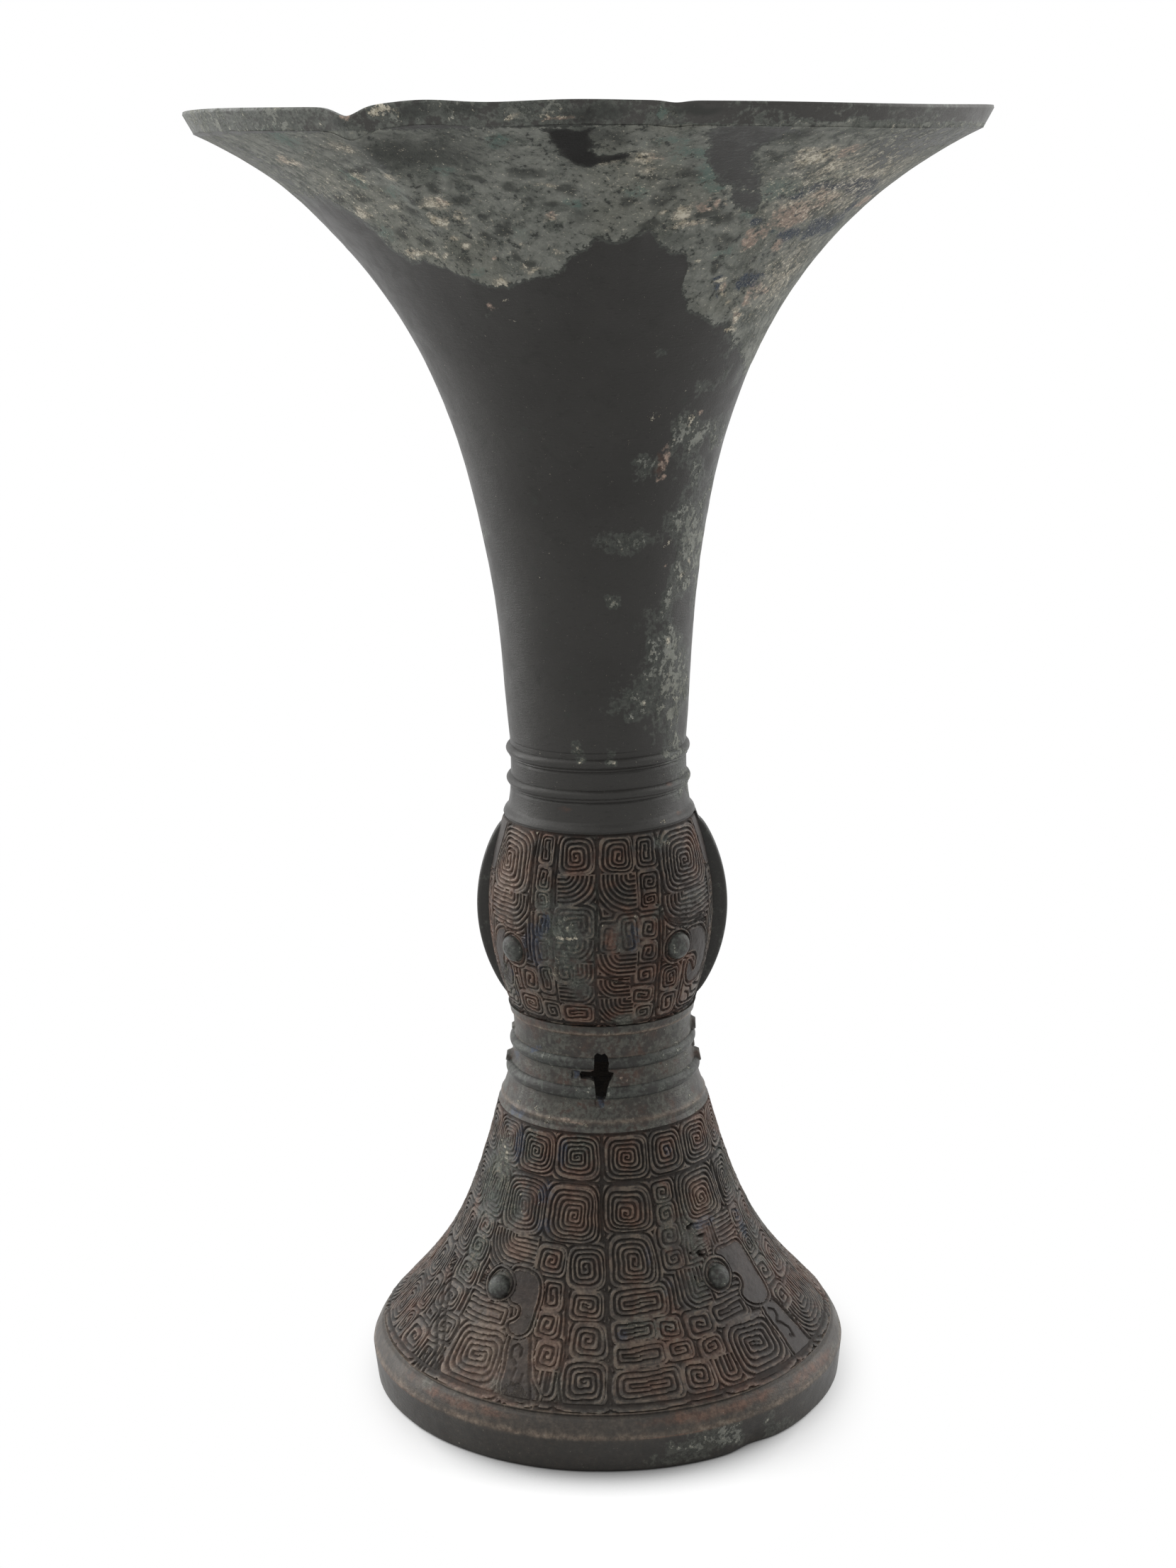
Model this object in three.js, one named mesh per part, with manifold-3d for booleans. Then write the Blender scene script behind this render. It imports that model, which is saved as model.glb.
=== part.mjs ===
// A tall bronze beaker of the gu type: a flared trumpet over a ridged collar, a bulb with two flanges,
// a narrow waist with a cross-shaped hole front and back, and a splayed foot on a plain rim.
// Millimetres, +Z up, front towards -Y, origin on the axis at the ground.
import * as THREE from "three";
import { mergeVertices } from "three/addons/utils/BufferGeometryUtils.js";
import Module from "manifold-3d";

const wasm = await Module();
wasm.setup();

// Heights of the tiers, from the ground up
const footRimHeight = 12;
const footHeight = 49.5;
const waistHeight = 22;
const bulbHeight = 40.8;
const collarHeight = 16.2;
const trumpetHeight = 120.5;
const lipHeight = 4;

// Outside radii at the ends of the tiers
const groundRadius = 50.2;
const footEdgeRadius = 51;
const footRadius = 48.6;
const footTopRadius = 22.4;
const bulbBottomRadius = 19.4;
const shoulderRadius = 19.7;
const collarRadius = 18.2;
const trumpetRadius = 76.3;
const lipRadius = 78.5;

// The pulls that bend each tier's outline: how far out and up its curve heads on from each end
const footLowerPull = [-11.6, 12.9];
const footUpperPull = [7.6, -30.4];
const waistLowerPull = [-4.3, 9];
const waistUpperPull = [-1.1, -3];
const bulbLowerPull = [1.84, 5.9];
const bulbUpperPull = [7.7, -21];
const collarLowerPull = [-0.8, 1.6];
const collarUpperPull = [-0.5, -11];
const trumpetLowerPull = [2.8, 31.8];
const trumpetUpperPull = [-57.1, -26.3];

// The wall, and the gap that separate pieces keep where they seat on each other
const wall = 2.4;
const lipEdge = 1.4;
const footEdgeHeight = 7.4;
const standingWidth = 4;
const seatGap = 0.15;
const seamGap = 0.3;

// Half-round ridges round the collar and the waist
const ridgeHalfWidth = 1.5;
const ridgeProud = 0.85;
const upperCollarRidgeDrop = 2.5;
const lowerCollarRidgeDrop = 8.9;
const upperWaistRidgeDrop = 8.3;
const lowerWaistRidgeDrop = 15.1;

// The cross-shaped hole, measured from its centre, which lies below the bulb
const crossDrop = 10.85;
const crossHeight = 9.7;
const crossWidth = 6.5;
const crossUprightWidth = 2.1;
const crossBarHeight = 1.5;
const crossTurn = -2.3;

// The casting fins at the sides of the waist
const finThickness = 1.6;
const finProud = 1.5;
const finHeight = 2.3;

// The floor of the drinking space, on its ledge in the waist
const floorDrop = 4.3;
const floorThickness = 2.2;
const ledgeWidth = 1.4;
const ledgeHeight = 1.1;

// The flanges at the sides of the bulb
const flangeThickness = 2.6;
const flangeProud = 2.8;
const flangeFoot = 1.2;
const flangeHead = 1.8;

// Round eyes of the masks, each a stud seated in a pocket of its panel
const eyeSeat = 0.8;
const bulbEyeRadius = 3;
const bulbEyeProud = 1.6;
const bulbEyeRise = 16.4;
const bulbEyeAngles = { right: 42, left: -51 };
const footEyeRadius = 3.7;
const footEyeProud = 1.9;
const footEyeRise = 18.8;
const footEyeAngles = { right: 43, left: -40.5 };

// How finely round and curved faces are divided
const facets = 48;
const eyeFacets = 12;
const flangeSteps = 14;
const ridgeSteps = 4;

// Heights of the joints between the tiers
const footBottom = footRimHeight;
const waistBottom = footBottom + footHeight;
const bulbBottom = waistBottom + waistHeight;
const collarBottom = bulbBottom + bulbHeight;
const trumpetBottom = collarBottom + collarHeight;
const lipBottom = trumpetBottom + trumpetHeight;
const lipTop = lipBottom + lipHeight;

const degrees = THREE.MathUtils.degToRad;

// A tier's outside outline: a curve of (radius, height) bent by the pulls at its two ends
function outline(start, startPull, endPull, end) {
  const moved = ([r, z], [dr, dz]) => new THREE.Vector2(r + dr, z + dz);
  const still = [0, 0];
  return new THREE.CubicBezierCurve(
    moved(start, still),
    moved(start, startPull),
    moved(end, endPull),
    moved(end, still),
  );
}

const footOutline = outline(
  [footRadius, footBottom],
  footLowerPull,
  footUpperPull,
  [footTopRadius, waistBottom],
);
const waistOutline = outline(
  [footTopRadius, waistBottom],
  waistLowerPull,
  waistUpperPull,
  [bulbBottomRadius, bulbBottom],
);
const bulbOutline = outline(
  [bulbBottomRadius, bulbBottom],
  bulbLowerPull,
  bulbUpperPull,
  [shoulderRadius, collarBottom],
);
const collarOutline = outline(
  [shoulderRadius, collarBottom],
  collarLowerPull,
  collarUpperPull,
  [collarRadius, trumpetBottom],
);
const trumpetOutline = outline(
  [collarRadius, trumpetBottom],
  trumpetLowerPull,
  trumpetUpperPull,
  [trumpetRadius, lipBottom],
);

// The point of the inside face level with the outline's point at t, a wall's thickness away from it
function innerPoint(curve, t) {
  const outside = curve.getPoint(t);
  return new THREE.Vector2(outside.x - wall / curve.getTangent(t).y, outside.y);
}

// Where on its way, from 0 to 1, an outline passes a height
function wayTo(curve, height) {
  let low = 0;
  let high = 1;
  for (let halving = 0; halving < 40; halving += 1) {
    const middle = (low + high) / 2;
    if (curve.getPoint(middle).y < height) low = middle;
    else high = middle;
  }
  return (low + high) / 2;
}

const outerRadius = (curve, height) => curve.getPoint(wayTo(curve, height)).x;
const innerRadius = (curve, height) => innerPoint(curve, wayTo(curve, height)).x;

// An outline of (radius, height) points closed on itself and turned about the upright axis
function turned(points) {
  const closed = [...points, points[0]];
  return new THREE.LatheGeometry(closed, facets).rotateX(Math.PI / 2);
}

// The shell of a tier: its outline and, a wall inside it, the same outline back down
function shell(curve, steps) {
  const ways = Array.from({ length: steps + 1 }, (_, i) => i / steps);
  const outside = ways.map((t) => curve.getPoint(t));
  const inside = ways.map((t) => innerPoint(curve, t)).reverse();
  return turned([...outside, ...inside]);
}

// A geometry as a solid that can be cut and joined
function solid(geometry) {
  const bare = geometry.clone();
  bare.deleteAttribute("normal");
  bare.deleteAttribute("uv");
  const merged = mergeVertices(bare, 1e-4);
  return new wasm.Manifold(
    new wasm.Mesh({
      numProp: 3,
      vertProperties: merged.attributes.position.array,
      triVerts: new Uint32Array(merged.index.array),
    }),
  );
}

// A solid back as a geometry
function geometryOf(body) {
  const mesh = body.getMesh();
  const made = new THREE.BufferGeometry();
  made.setAttribute("position", new THREE.BufferAttribute(mesh.vertProperties, 3));
  made.setIndex(new THREE.BufferAttribute(mesh.triVerts, 1));
  made.computeVertexNormals();
  return made;
}

const bronze = (color, roughness) =>
  new THREE.MeshStandardMaterial({ color, roughness, metalness: 0.8 });
const plainBronze = bronze(0x45423d, 0.5);
const ridgeBronze = bronze(0x4d4a44, 0.48);
const reliefBronze = bronze(0x6b5546, 0.6);
const eyeBronze = bronze(0x54453a, 0.45);
const footBronze = bronze(0x3b3935, 0.5);

const vessel = new THREE.Group();

function add(name, geometry, material, parent = vessel) {
  const mesh = new THREE.Mesh(geometry, material);
  mesh.name = name;
  parent.add(mesh);
  return mesh;
}

// Foot rim: the plain upright band that the vessel stands on, with the foot's own wall at its top
function footRim() {
  return turned([
    new THREE.Vector2(groundRadius - standingWidth, 0),
    new THREE.Vector2(groundRadius, 0),
    new THREE.Vector2(footEdgeRadius, footEdgeHeight),
    footOutline.getPoint(0),
    innerPoint(footOutline, 0),
  ]);
}

// Lip: the steep band above the crease, whose inside carries on the trumpet's flare to a narrow edge
function lip() {
  return turned([
    trumpetOutline.getPoint(1),
    new THREE.Vector2(lipRadius, lipTop),
    new THREE.Vector2(lipRadius - lipEdge, lipTop),
    innerPoint(trumpetOutline, 1),
  ]);
}

// Ridge: a half-round ring laid on a wall, its inner face the seat's gap away from that wall
function ridge(curve, height) {
  const low = height - ridgeHalfWidth;
  const high = height + ridgeHalfWidth;
  const lowSeat = outerRadius(curve, low) + seatGap;
  const highSeat = outerRadius(curve, high) + seatGap;
  const points = [];
  for (let i = 0; i <= ridgeSteps; i += 1) {
    const share = i / ridgeSteps;
    const seat = THREE.MathUtils.lerp(lowSeat, highSeat, share);
    const swell = Math.sin(Math.PI * share) * (ridgeProud - seatGap);
    const level = height - ridgeHalfWidth * Math.cos(Math.PI * share);
    points.push(new THREE.Vector2(seat + swell, level));
  }
  return turned(points);
}

// The two crosses, front and back, as one cutter that passes out through the waist's wall
function crossCutter() {
  const centre = bulbBottom - crossDrop;
  const reach = footTopRadius + ridgeProud;
  const from = bulbBottomRadius / 2;
  const arm = (width, height) =>
    new THREE.BoxGeometry(width, reach, height).translate(0, -from - reach / 2, centre);
  const upright = solid(arm(crossUprightWidth, crossHeight));
  const front = upright.add(solid(arm(crossWidth, crossBarHeight)));
  const back = front.rotate([0, 0, 180]);
  return front.add(back).rotate([0, 0, crossTurn]);
}

// One casting fin: a thin bar rooted in the wall that stands out at the side of the waist
function fin(side, low) {
  const root = innerRadius(waistOutline, low + finHeight) + wall / 2;
  const tip = outerRadius(waistOutline, low + finHeight / 2) + finProud;
  const bar = new THREE.BoxGeometry(tip - root, finThickness, finHeight);
  return solid(bar.translate((side * (root + tip)) / 2, 0, low + finHeight / 2));
}

// Ledge inside the waist that carries the floor
function ledge() {
  const top = bulbBottom - floorDrop;
  const bottom = top - ledgeHeight;
  const rooted = innerRadius(waistOutline, top) + wall / 2;
  const reach = innerRadius(waistOutline, top) - ledgeWidth;
  return solid(
    turned([
      new THREE.Vector2(reach, bottom),
      new THREE.Vector2(rooted, bottom),
      new THREE.Vector2(rooted, top),
      new THREE.Vector2(reach, top),
    ]),
  );
}

// Waist: the narrow collar between foot and bulb, with its ledge, fins and crosses
function waist() {
  let body = solid(shell(waistOutline, 7)).add(ledge());
  for (const drop of [upperWaistRidgeDrop, lowerWaistRidgeDrop]) {
    const low = bulbBottom - drop + ridgeHalfWidth + seatGap;
    body = body.add(fin(1, low)).add(fin(-1, low));
  }
  return geometryOf(body.subtract(crossCutter()));
}

// Floor: the disc that closes the drinking space
function vesselFloor() {
  const bottom = bulbBottom - floorDrop + seatGap;
  const widest = innerRadius(waistOutline, bottom) - seatGap;
  const narrowest = innerRadius(waistOutline, bottom + floorThickness) - seatGap;
  const radius = Math.min(widest, narrowest);
  return new THREE.CylinderGeometry(radius, radius, floorThickness, facets)
    .rotateX(Math.PI / 2)
    .translate(0, 0, bottom + floorThickness / 2);
}

// The half of a shell on one side, front (-1) or back (1), that starts a distance from the middle
function half(body, side, start) {
  const size = 4 * footEdgeRadius;
  const block = new THREE.BoxGeometry(size, size, 2 * lipTop);
  return body.intersect(solid(block.translate(0, side * (start + size / 2), 0)));
}

// Flange: a thin upright fin whose tang fills the slot between the bulb's two panels
function flange() {
  const ways = Array.from({ length: flangeSteps + 1 }, (_, i) => i / flangeSteps);
  const low = bulbBottom + flangeFoot;
  const high = collarBottom - flangeHead;
  const shape = new THREE.Shape();
  for (const t of ways) {
    const { x: radius, y: height } = bulbOutline.getPoint(t);
    const share = THREE.MathUtils.clamp((height - low) / (high - low), 0, 1);
    const proud = flangeProud * Math.sqrt(Math.sin(Math.PI * share));
    if (t === 0) shape.moveTo(radius, height);
    else shape.lineTo(radius + proud, height);
  }
  for (const t of ways.toReversed()) {
    const inside = innerPoint(bulbOutline, t);
    shape.lineTo(inside.x, inside.y);
  }
  const plate = { depth: flangeThickness, bevelEnabled: false };
  return new THREE.ExtrudeGeometry(shape, plate)
    .translate(0, 0, -flangeThickness / 2)
    .rotateX(Math.PI / 2);
}

// An eye about its own Y axis: a domed stud whose shank goes down to a flat seat
function eye(radius, proud) {
  const points = [
    new THREE.Vector2(0, -eyeSeat),
    new THREE.Vector2(radius, -eyeSeat),
    new THREE.Vector2(radius, 0),
    new THREE.Vector2(radius * Math.cos(degrees(35)), proud * Math.sin(degrees(35))),
    new THREE.Vector2(radius * Math.cos(degrees(65)), proud * Math.sin(degrees(65))),
    new THREE.Vector2(0, proud),
  ];
  return new THREE.LatheGeometry(points, eyeFacets);
}

// The pocket that an eye drops into, about the same Y axis
function eyePocket(radius, proud) {
  const floor = eyeSeat + seatGap;
  const height = floor + proud;
  const width = radius + seatGap;
  return new THREE.CylinderGeometry(width, width, height, eyeFacets).translate(
    0,
    height / 2 - floor,
    0,
  );
}

// A holder at an angle from the front and a height on an outline, with +Y square to the wall there
function seatOn(curve, height, angle) {
  const t = wayTo(curve, height);
  const tangent = curve.getTangent(t);
  const spin = new THREE.Group();
  spin.rotation.z = degrees(angle);
  const seat = new THREE.Group();
  seat.position.set(0, -curve.getPoint(t).x, height);
  seat.rotation.x = Math.atan2(-tangent.x, -tangent.y);
  spin.add(seat);
  vessel.add(spin);
  spin.updateMatrixWorld(true);
  return seat;
}

// A decorated tier: a front and a back panel with an eye at each side of each
function decoratedTier(tier) {
  const body = solid(shell(tier.curve, tier.steps));
  for (const [sideName, side, turn] of [["front", -1, 0], ["back", 1, 180]]) {
    let panel = half(body, side, tier.slot / 2);
    for (const [eyeName, angle] of Object.entries(tier.eyeAngles)) {
      const seat = seatOn(tier.curve, tier.eyeHeight, angle + turn);
      const dome = eye(tier.eyeRadius, tier.eyeProud);
      add(`${tier.name}_eye_${sideName}_${eyeName}`, dome, eyeBronze, seat);
      const pocket = eyePocket(tier.eyeRadius, tier.eyeProud);
      panel = panel.subtract(solid(pocket.applyMatrix4(seat.matrixWorld)));
    }
    add(`${tier.name}_panel_${sideName}`, geometryOf(panel), reliefBronze);
  }
}

add("foot_rim", footRim(), footBronze);
decoratedTier({
  name: "foot",
  curve: footOutline,
  steps: 8,
  slot: seamGap,
  eyeHeight: footBottom + footEyeRise,
  eyeAngles: footEyeAngles,
  eyeRadius: footEyeRadius,
  eyeProud: footEyeProud,
});
add("waist_collar", waist(), plainBronze);
add("vessel_floor", vesselFloor(), plainBronze);

// Where the crosses break a waist ridge right through, its two halves are pieces of their own
for (const [name, drop] of [["upper", upperWaistRidgeDrop], ["lower", lowerWaistRidgeDrop]]) {
  const ring = solid(ridge(waistOutline, bulbBottom - drop)).subtract(crossCutter());
  const bodies = ring.decompose();
  for (const body of bodies) {
    const west = body.boundingBox().min[0];
    const east = body.boundingBox().max[0];
    const side = west + east < 0 ? "_left" : "_right";
    const ending = bodies.length > 1 ? side : "";
    add(`waist_ridge_${name}${ending}`, geometryOf(body), ridgeBronze);
  }
}

decoratedTier({
  name: "bulb",
  curve: bulbOutline,
  steps: 8,
  slot: flangeThickness + 2 * seatGap,
  eyeHeight: bulbBottom + bulbEyeRise,
  eyeAngles: bulbEyeAngles,
  eyeRadius: bulbEyeRadius,
  eyeProud: bulbEyeProud,
});
add("bulb_flange_right", flange(), ridgeBronze);
add("bulb_flange_left", flange(), ridgeBronze).rotation.z = Math.PI;

add("neck_collar", shell(collarOutline, 5), plainBronze);
for (const [name, drop] of [["upper", upperCollarRidgeDrop], ["lower", lowerCollarRidgeDrop]]) {
  add(`neck_ridge_${name}`, ridge(collarOutline, trumpetBottom - drop), ridgeBronze);
}
add("trumpet", shell(trumpetOutline, 11), plainBronze);
add("mouth_lip", lip(), plainBronze);

export default vessel;
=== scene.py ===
"""A bronze gu beaker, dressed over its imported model.

Every tier is a fine mesh turned about the vessel's axis: plain bronze with patina on the trumpet,
collar, waist and rim, and cast mask relief on the bulb and the foot. Angles are in degrees from
the front (-Y), growing towards +X. Heights and radii in this script are millimetres.
"""
import math
from itertools import product

import bpy
import numpy as np
from mathutils import Matrix, Vector


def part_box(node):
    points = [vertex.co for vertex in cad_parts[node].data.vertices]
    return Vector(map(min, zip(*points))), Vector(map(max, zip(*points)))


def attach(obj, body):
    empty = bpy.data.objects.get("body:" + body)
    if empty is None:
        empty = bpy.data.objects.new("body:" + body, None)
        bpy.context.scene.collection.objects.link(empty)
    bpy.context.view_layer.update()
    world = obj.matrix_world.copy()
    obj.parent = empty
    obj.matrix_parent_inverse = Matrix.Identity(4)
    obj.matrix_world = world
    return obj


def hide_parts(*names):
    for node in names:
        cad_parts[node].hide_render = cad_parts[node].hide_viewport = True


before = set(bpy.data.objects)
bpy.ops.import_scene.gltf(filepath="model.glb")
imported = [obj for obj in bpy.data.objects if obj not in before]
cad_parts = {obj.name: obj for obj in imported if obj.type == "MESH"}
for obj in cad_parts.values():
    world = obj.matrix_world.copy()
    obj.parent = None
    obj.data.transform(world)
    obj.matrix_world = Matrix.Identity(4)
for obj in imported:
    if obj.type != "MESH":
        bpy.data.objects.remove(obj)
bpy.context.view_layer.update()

MM = 0.001

# The photograph's camera, worked out from the ellipses of the mouth, ridges and foot
FOCAL_PIXELS = 3560.25
PHOTO_HEIGHT_PIXELS = 2212
SENSOR = 36.0
CAMERA_PLACE = (-0.0022, -0.5079, 0.2565)
CAMERA_TILT = math.radians(14.0)
CAMERA_ROLL = math.radians(-0.99)

# Each lamp is (name, place, width and height, power). All face one point on the axis
LAMPS = [
    ("left softbox", (-0.86, 0.28, 0.5), (0.7, 1.1), 9.0),
    ("right softbox", (0.9, 0.28, 0.42), (0.6, 1.0), 6.0),
    ("top softbox", (-0.45, -0.4, 0.95), (0.7, 0.7), 2.5),
]
LAMPS_FACE = Vector((0.0, 0.0, 0.13))
WORLD_STRENGTH = 0.5
WHITE = (1.0, 1.0, 1.0)

FLOOR_RADIUS = 3.0
FLOOR_COLOUR = (0.8, 0.8, 0.8)
FLOOR_GLOW = 0.27
# The floor's looks change with the distance from the axis in metres, counted longer sideways than forwards
FLOOR_STRETCH = (1.5, 1.0, 1.0)
# How far the shadow at the foot reaches, and how deep it is from near to far
CONTACT_REACH = 0.013
CONTACT_DEPTH = {"From Min": 0.052, "From Max": 0.068, "To Min": 1.4, "To Max": 0.2}
FLOOR_FADE = {"From Min": 0.066, "From Max": 0.09}

# Heights of the joints between the tiers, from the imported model
GROUND = 0.0
FOOT_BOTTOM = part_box("foot_rim")[1][2] / MM
WAIST_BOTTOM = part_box("waist_collar")[0][2] / MM
BULB_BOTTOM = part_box("bulb_panel_front")[0][2] / MM
COLLAR_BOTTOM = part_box("neck_collar")[0][2] / MM
TRUMPET_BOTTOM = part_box("trumpet")[0][2] / MM
LIP_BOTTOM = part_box("mouth_lip")[0][2] / MM
LIP_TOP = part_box("mouth_lip")[1][2] / MM

# Radii that the outlines start and end at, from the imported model
LIP_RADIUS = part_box("mouth_lip")[1][0] / MM
TRUMPET_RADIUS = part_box("trumpet")[1][0] / MM
FOOT_EDGE_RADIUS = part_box("foot_rim")[1][0] / MM
FOOT_TOP_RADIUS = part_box("waist_collar")[1][0] / MM
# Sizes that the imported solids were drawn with
FOOT_RADIUS = 48.6
BULB_BOTTOM_RADIUS = 19.4
SHOULDER_RADIUS = 19.7
COLLAR_RADIUS = 18.2
GROUND_RADIUS = 50.2
FOOT_CREASE = 7.4
WALL = 2.4
LIP_EDGE = 1.4


# The stage

def feed(tree, socket, value):
    """Sets a socket to a value, or links it when the value is another node's socket."""
    if isinstance(value, bpy.types.NodeSocket):
        tree.links.new(value, socket)
    elif socket.type == "RGBA":
        socket.default_value = (*value, 1.0)
    else:
        socket.default_value = value


def add_node(tree, kind, inputs=None, operation=None):
    """A shader node whose named or numbered inputs are fed."""
    node = tree.nodes.new(f"ShaderNode{kind}")
    if operation:
        node.operation = operation
    for name, value in (inputs or {}).items():
        feed(tree, node.inputs[name], value)
    return node


def make_camera():
    data = bpy.data.cameras.new("camera")
    data.sensor_width = SENSOR
    data.lens = FOCAL_PIXELS / PHOTO_HEIGHT_PIXELS * SENSOR
    data.clip_start = 0.01
    camera = bpy.data.objects.new("camera", data)
    tilt = Matrix.Rotation(math.pi / 2 - CAMERA_TILT, 4, "X")
    roll = Matrix.Rotation(CAMERA_ROLL, 4, "Z")
    camera.matrix_world = Matrix.Translation(Vector(CAMERA_PLACE)) @ tilt @ roll
    bpy.context.scene.collection.objects.link(camera)
    bpy.context.scene.camera = camera


def make_lamps():
    for name, place, size, power in LAMPS:
        data = bpy.data.lights.new(name, "AREA")
        data.shape = "RECTANGLE"
        data.size, data.size_y = size
        data.energy = power
        lamp = bpy.data.objects.new(name, data)
        lamp.rotation_euler = (LAMPS_FACE - Vector(place)).to_track_quat("-Z", "Y").to_euler()
        lamp.location = place
        bpy.context.scene.collection.objects.link(lamp)


def seen_directly(tree):
    """1 where the camera, a reflection or a refraction looks, and 0 for light that falls on things."""
    path = add_node(tree, "LightPath").outputs
    seen = path["Is Camera Ray"]
    for kind in ("Is Glossy Ray", "Is Transmission Ray"):
        seen = add_node(tree, "Math", {0: seen, 1: path[kind]}, "MAXIMUM").outputs[0]
    return seen


def make_world():
    world = bpy.data.worlds.new("studio")
    bpy.context.scene.world = world
    world.use_nodes = True
    tree = world.node_tree
    soft = tree.nodes["Background"]
    feed(tree, soft.inputs["Color"], WHITE)
    feed(tree, soft.inputs["Strength"], WORLD_STRENGTH)
    white = add_node(tree, "Background", {"Color": WHITE, "Strength": 1.0})
    mix = add_node(tree, "MixShader", {0: seen_directly(tree), 1: soft.outputs[0], 2: white.outputs[0]})
    feed(tree, tree.nodes["World Output"].inputs["Surface"], mix.outputs[0])


def make_floor():
    """A pale floor that takes the vessel's shadow close by and looks white further off."""
    bpy.ops.mesh.primitive_circle_add(vertices=96, radius=FLOOR_RADIUS, fill_type="NGON")
    floor = bpy.context.object
    floor.name = "floor"
    material = bpy.data.materials.new("floor")
    material.use_nodes = True
    tree = material.node_tree
    shader = tree.nodes["Principled BSDF"]
    feed(tree, shader.inputs["Base Color"], FLOOR_COLOUR)
    feed(tree, shader.inputs["Roughness"], 1.0)
    feed(tree, shader.inputs["Specular IOR Level"], 0.0)
    glow = add_node(tree, "Emission", {"Strength": FLOOR_GLOW})
    near = add_node(tree, "AddShader", {0: shader.outputs[0], 1: glow.outputs[0]})
    place = add_node(tree, "NewGeometry").outputs["Position"]
    stretched = add_node(tree, "VectorMath", {0: place, 1: FLOOR_STRETCH}, "MULTIPLY")
    length = add_node(tree, "VectorMath", {0: stretched.outputs[0]}, "LENGTH").outputs["Value"]
    depth = add_node(tree, "MapRange", {"Value": length, **CONTACT_DEPTH})
    close = add_node(tree, "AmbientOcclusion", {"Distance": CONTACT_REACH})
    close.samples = 6
    deepened = add_node(tree, "Math", {0: close.outputs["AO"], 1: depth.outputs["Result"]}, "POWER")
    black = add_node(tree, "Emission", {"Strength": 0.0})
    shaded = add_node(tree, "MixShader", {0: deepened.outputs[0], 1: black.outputs[0], 2: near.outputs[0]})
    fade = add_node(tree, "MapRange", {"Value": length, **FLOOR_FADE})
    fade.interpolation_type = "SMOOTHSTEP"
    white = add_node(tree, "Emission")
    faded = fade.outputs["Result"]
    seen = add_node(tree, "MixShader", {0: faded, 1: shaded.outputs[0], 2: white.outputs[0]})
    mix = add_node(tree, "MixShader", {0: seen_directly(tree), 1: shader.outputs[0], 2: seen.outputs[0]})
    feed(tree, tree.nodes["Material Output"].inputs["Surface"], mix.outputs[0])
    floor.data.materials.append(material)


# Small maths

def smooth(low, high, value):
    share = np.clip((value - low) / (high - low), 0.0, 1.0)
    return share * share * (3.0 - 2.0 * share)


def noise(points, size, seed):
    """Smooth noise from 0 to 1 at points in millimetres, in features of about one size."""
    scaled = np.asarray(points) / size + 100.0
    cell = np.floor(scaled).astype(np.int64)
    part = scaled - cell
    ease = part * part * (3.0 - 2.0 * part)
    total = 0.0
    for corner in product((0, 1), repeat=3):
        x, y, z = np.moveaxis(cell + np.array(corner), -1, 0)
        code = (x * 374761393 + y * 668265263 + z * 974634777 + seed * 362437) & 0xFFFFFFFF
        code = ((code ^ (code >> 13)) * 1274126177) & 0xFFFFFFFF
        value = ((code ^ (code >> 16)) & 0xFFFF) / 65535.0
        weight = np.prod(np.where(np.array(corner) == 1, ease, 1.0 - ease), axis=-1)
        total = total + value * weight
    return total


def clouds(points, size, seed, layers=3):
    """Noise in layers, each half the size and half the strength of the one before."""
    total = 0.0
    reach = 0.0
    for layer in range(layers):
        strength = 0.5 ** layer
        total = total + strength * noise(points, size * strength, seed + layer)
        reach += strength
    return total / reach


def bump(value, middle, width):
    return np.exp(-(((value - middle) / width) ** 2))


def bumps(value, places):
    """The sum of some bumps, each (middle, width, height)."""
    return sum(tall * bump(value, middle, width) for middle, width, tall in places)


def angle_of(points):
    return np.degrees(np.arctan2(points[..., 0], -points[..., 1]))


def radius_of(points):
    return np.hypot(points[..., 0], points[..., 1])


def turned(angle, middle=0.0):
    """How far an angle lies from a middle, the shorter way round."""
    return (angle - middle + 180.0) % 360.0 - 180.0


# Outlines of the tiers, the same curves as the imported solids

def outline(start, start_pull, end_pull, end):
    """(radius, height) along a curve that leaves its two ends along two pulls."""
    first, last = np.array(start), np.array(end)
    second, third = first + start_pull, last + end_pull
    t = np.linspace(0.0, 1.0, 400)[:, None]
    curve = (1 - t) ** 3 * first + 3 * (1 - t) ** 2 * t * second
    return curve + 3 * (1 - t) * t ** 2 * third + t ** 3 * last


# Where each tier starts, as (radius, height)
FOOT_START = (FOOT_RADIUS, FOOT_BOTTOM)
WAIST_START = (FOOT_TOP_RADIUS, WAIST_BOTTOM)
BULB_START = (BULB_BOTTOM_RADIUS, BULB_BOTTOM)
COLLAR_START = (SHOULDER_RADIUS, COLLAR_BOTTOM)
TRUMPET_START = (COLLAR_RADIUS, TRUMPET_BOTTOM)
LIP_START = (TRUMPET_RADIUS, LIP_BOTTOM)

FOOT_OUTLINE = outline(FOOT_START, (-11.6, 12.9), (7.6, -30.4), WAIST_START)
WAIST_OUTLINE = outline(WAIST_START, (-4.3, 9.0), (-1.1, -3.0), BULB_START)
BULB_OUTLINE = outline(BULB_START, (1.84, 5.9), (7.7, -21.0), COLLAR_START)
COLLAR_OUTLINE = outline(COLLAR_START, (-1.1, 1.2), (-0.3, -10.0), TRUMPET_START)
TRUMPET_OUTLINE = outline(TRUMPET_START, (2.8, 31.8), (-57.1, -26.3), LIP_START)
RIM_OUTLINE = np.array([(GROUND_RADIUS, GROUND), (FOOT_EDGE_RADIUS, FOOT_CREASE), FOOT_START])
LIP_OUTLINE = np.array([LIP_START, (LIP_RADIUS, LIP_TOP)])


def radius_at(curve, height):
    return np.interp(height, curve[:, 1], curve[:, 0])


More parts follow.
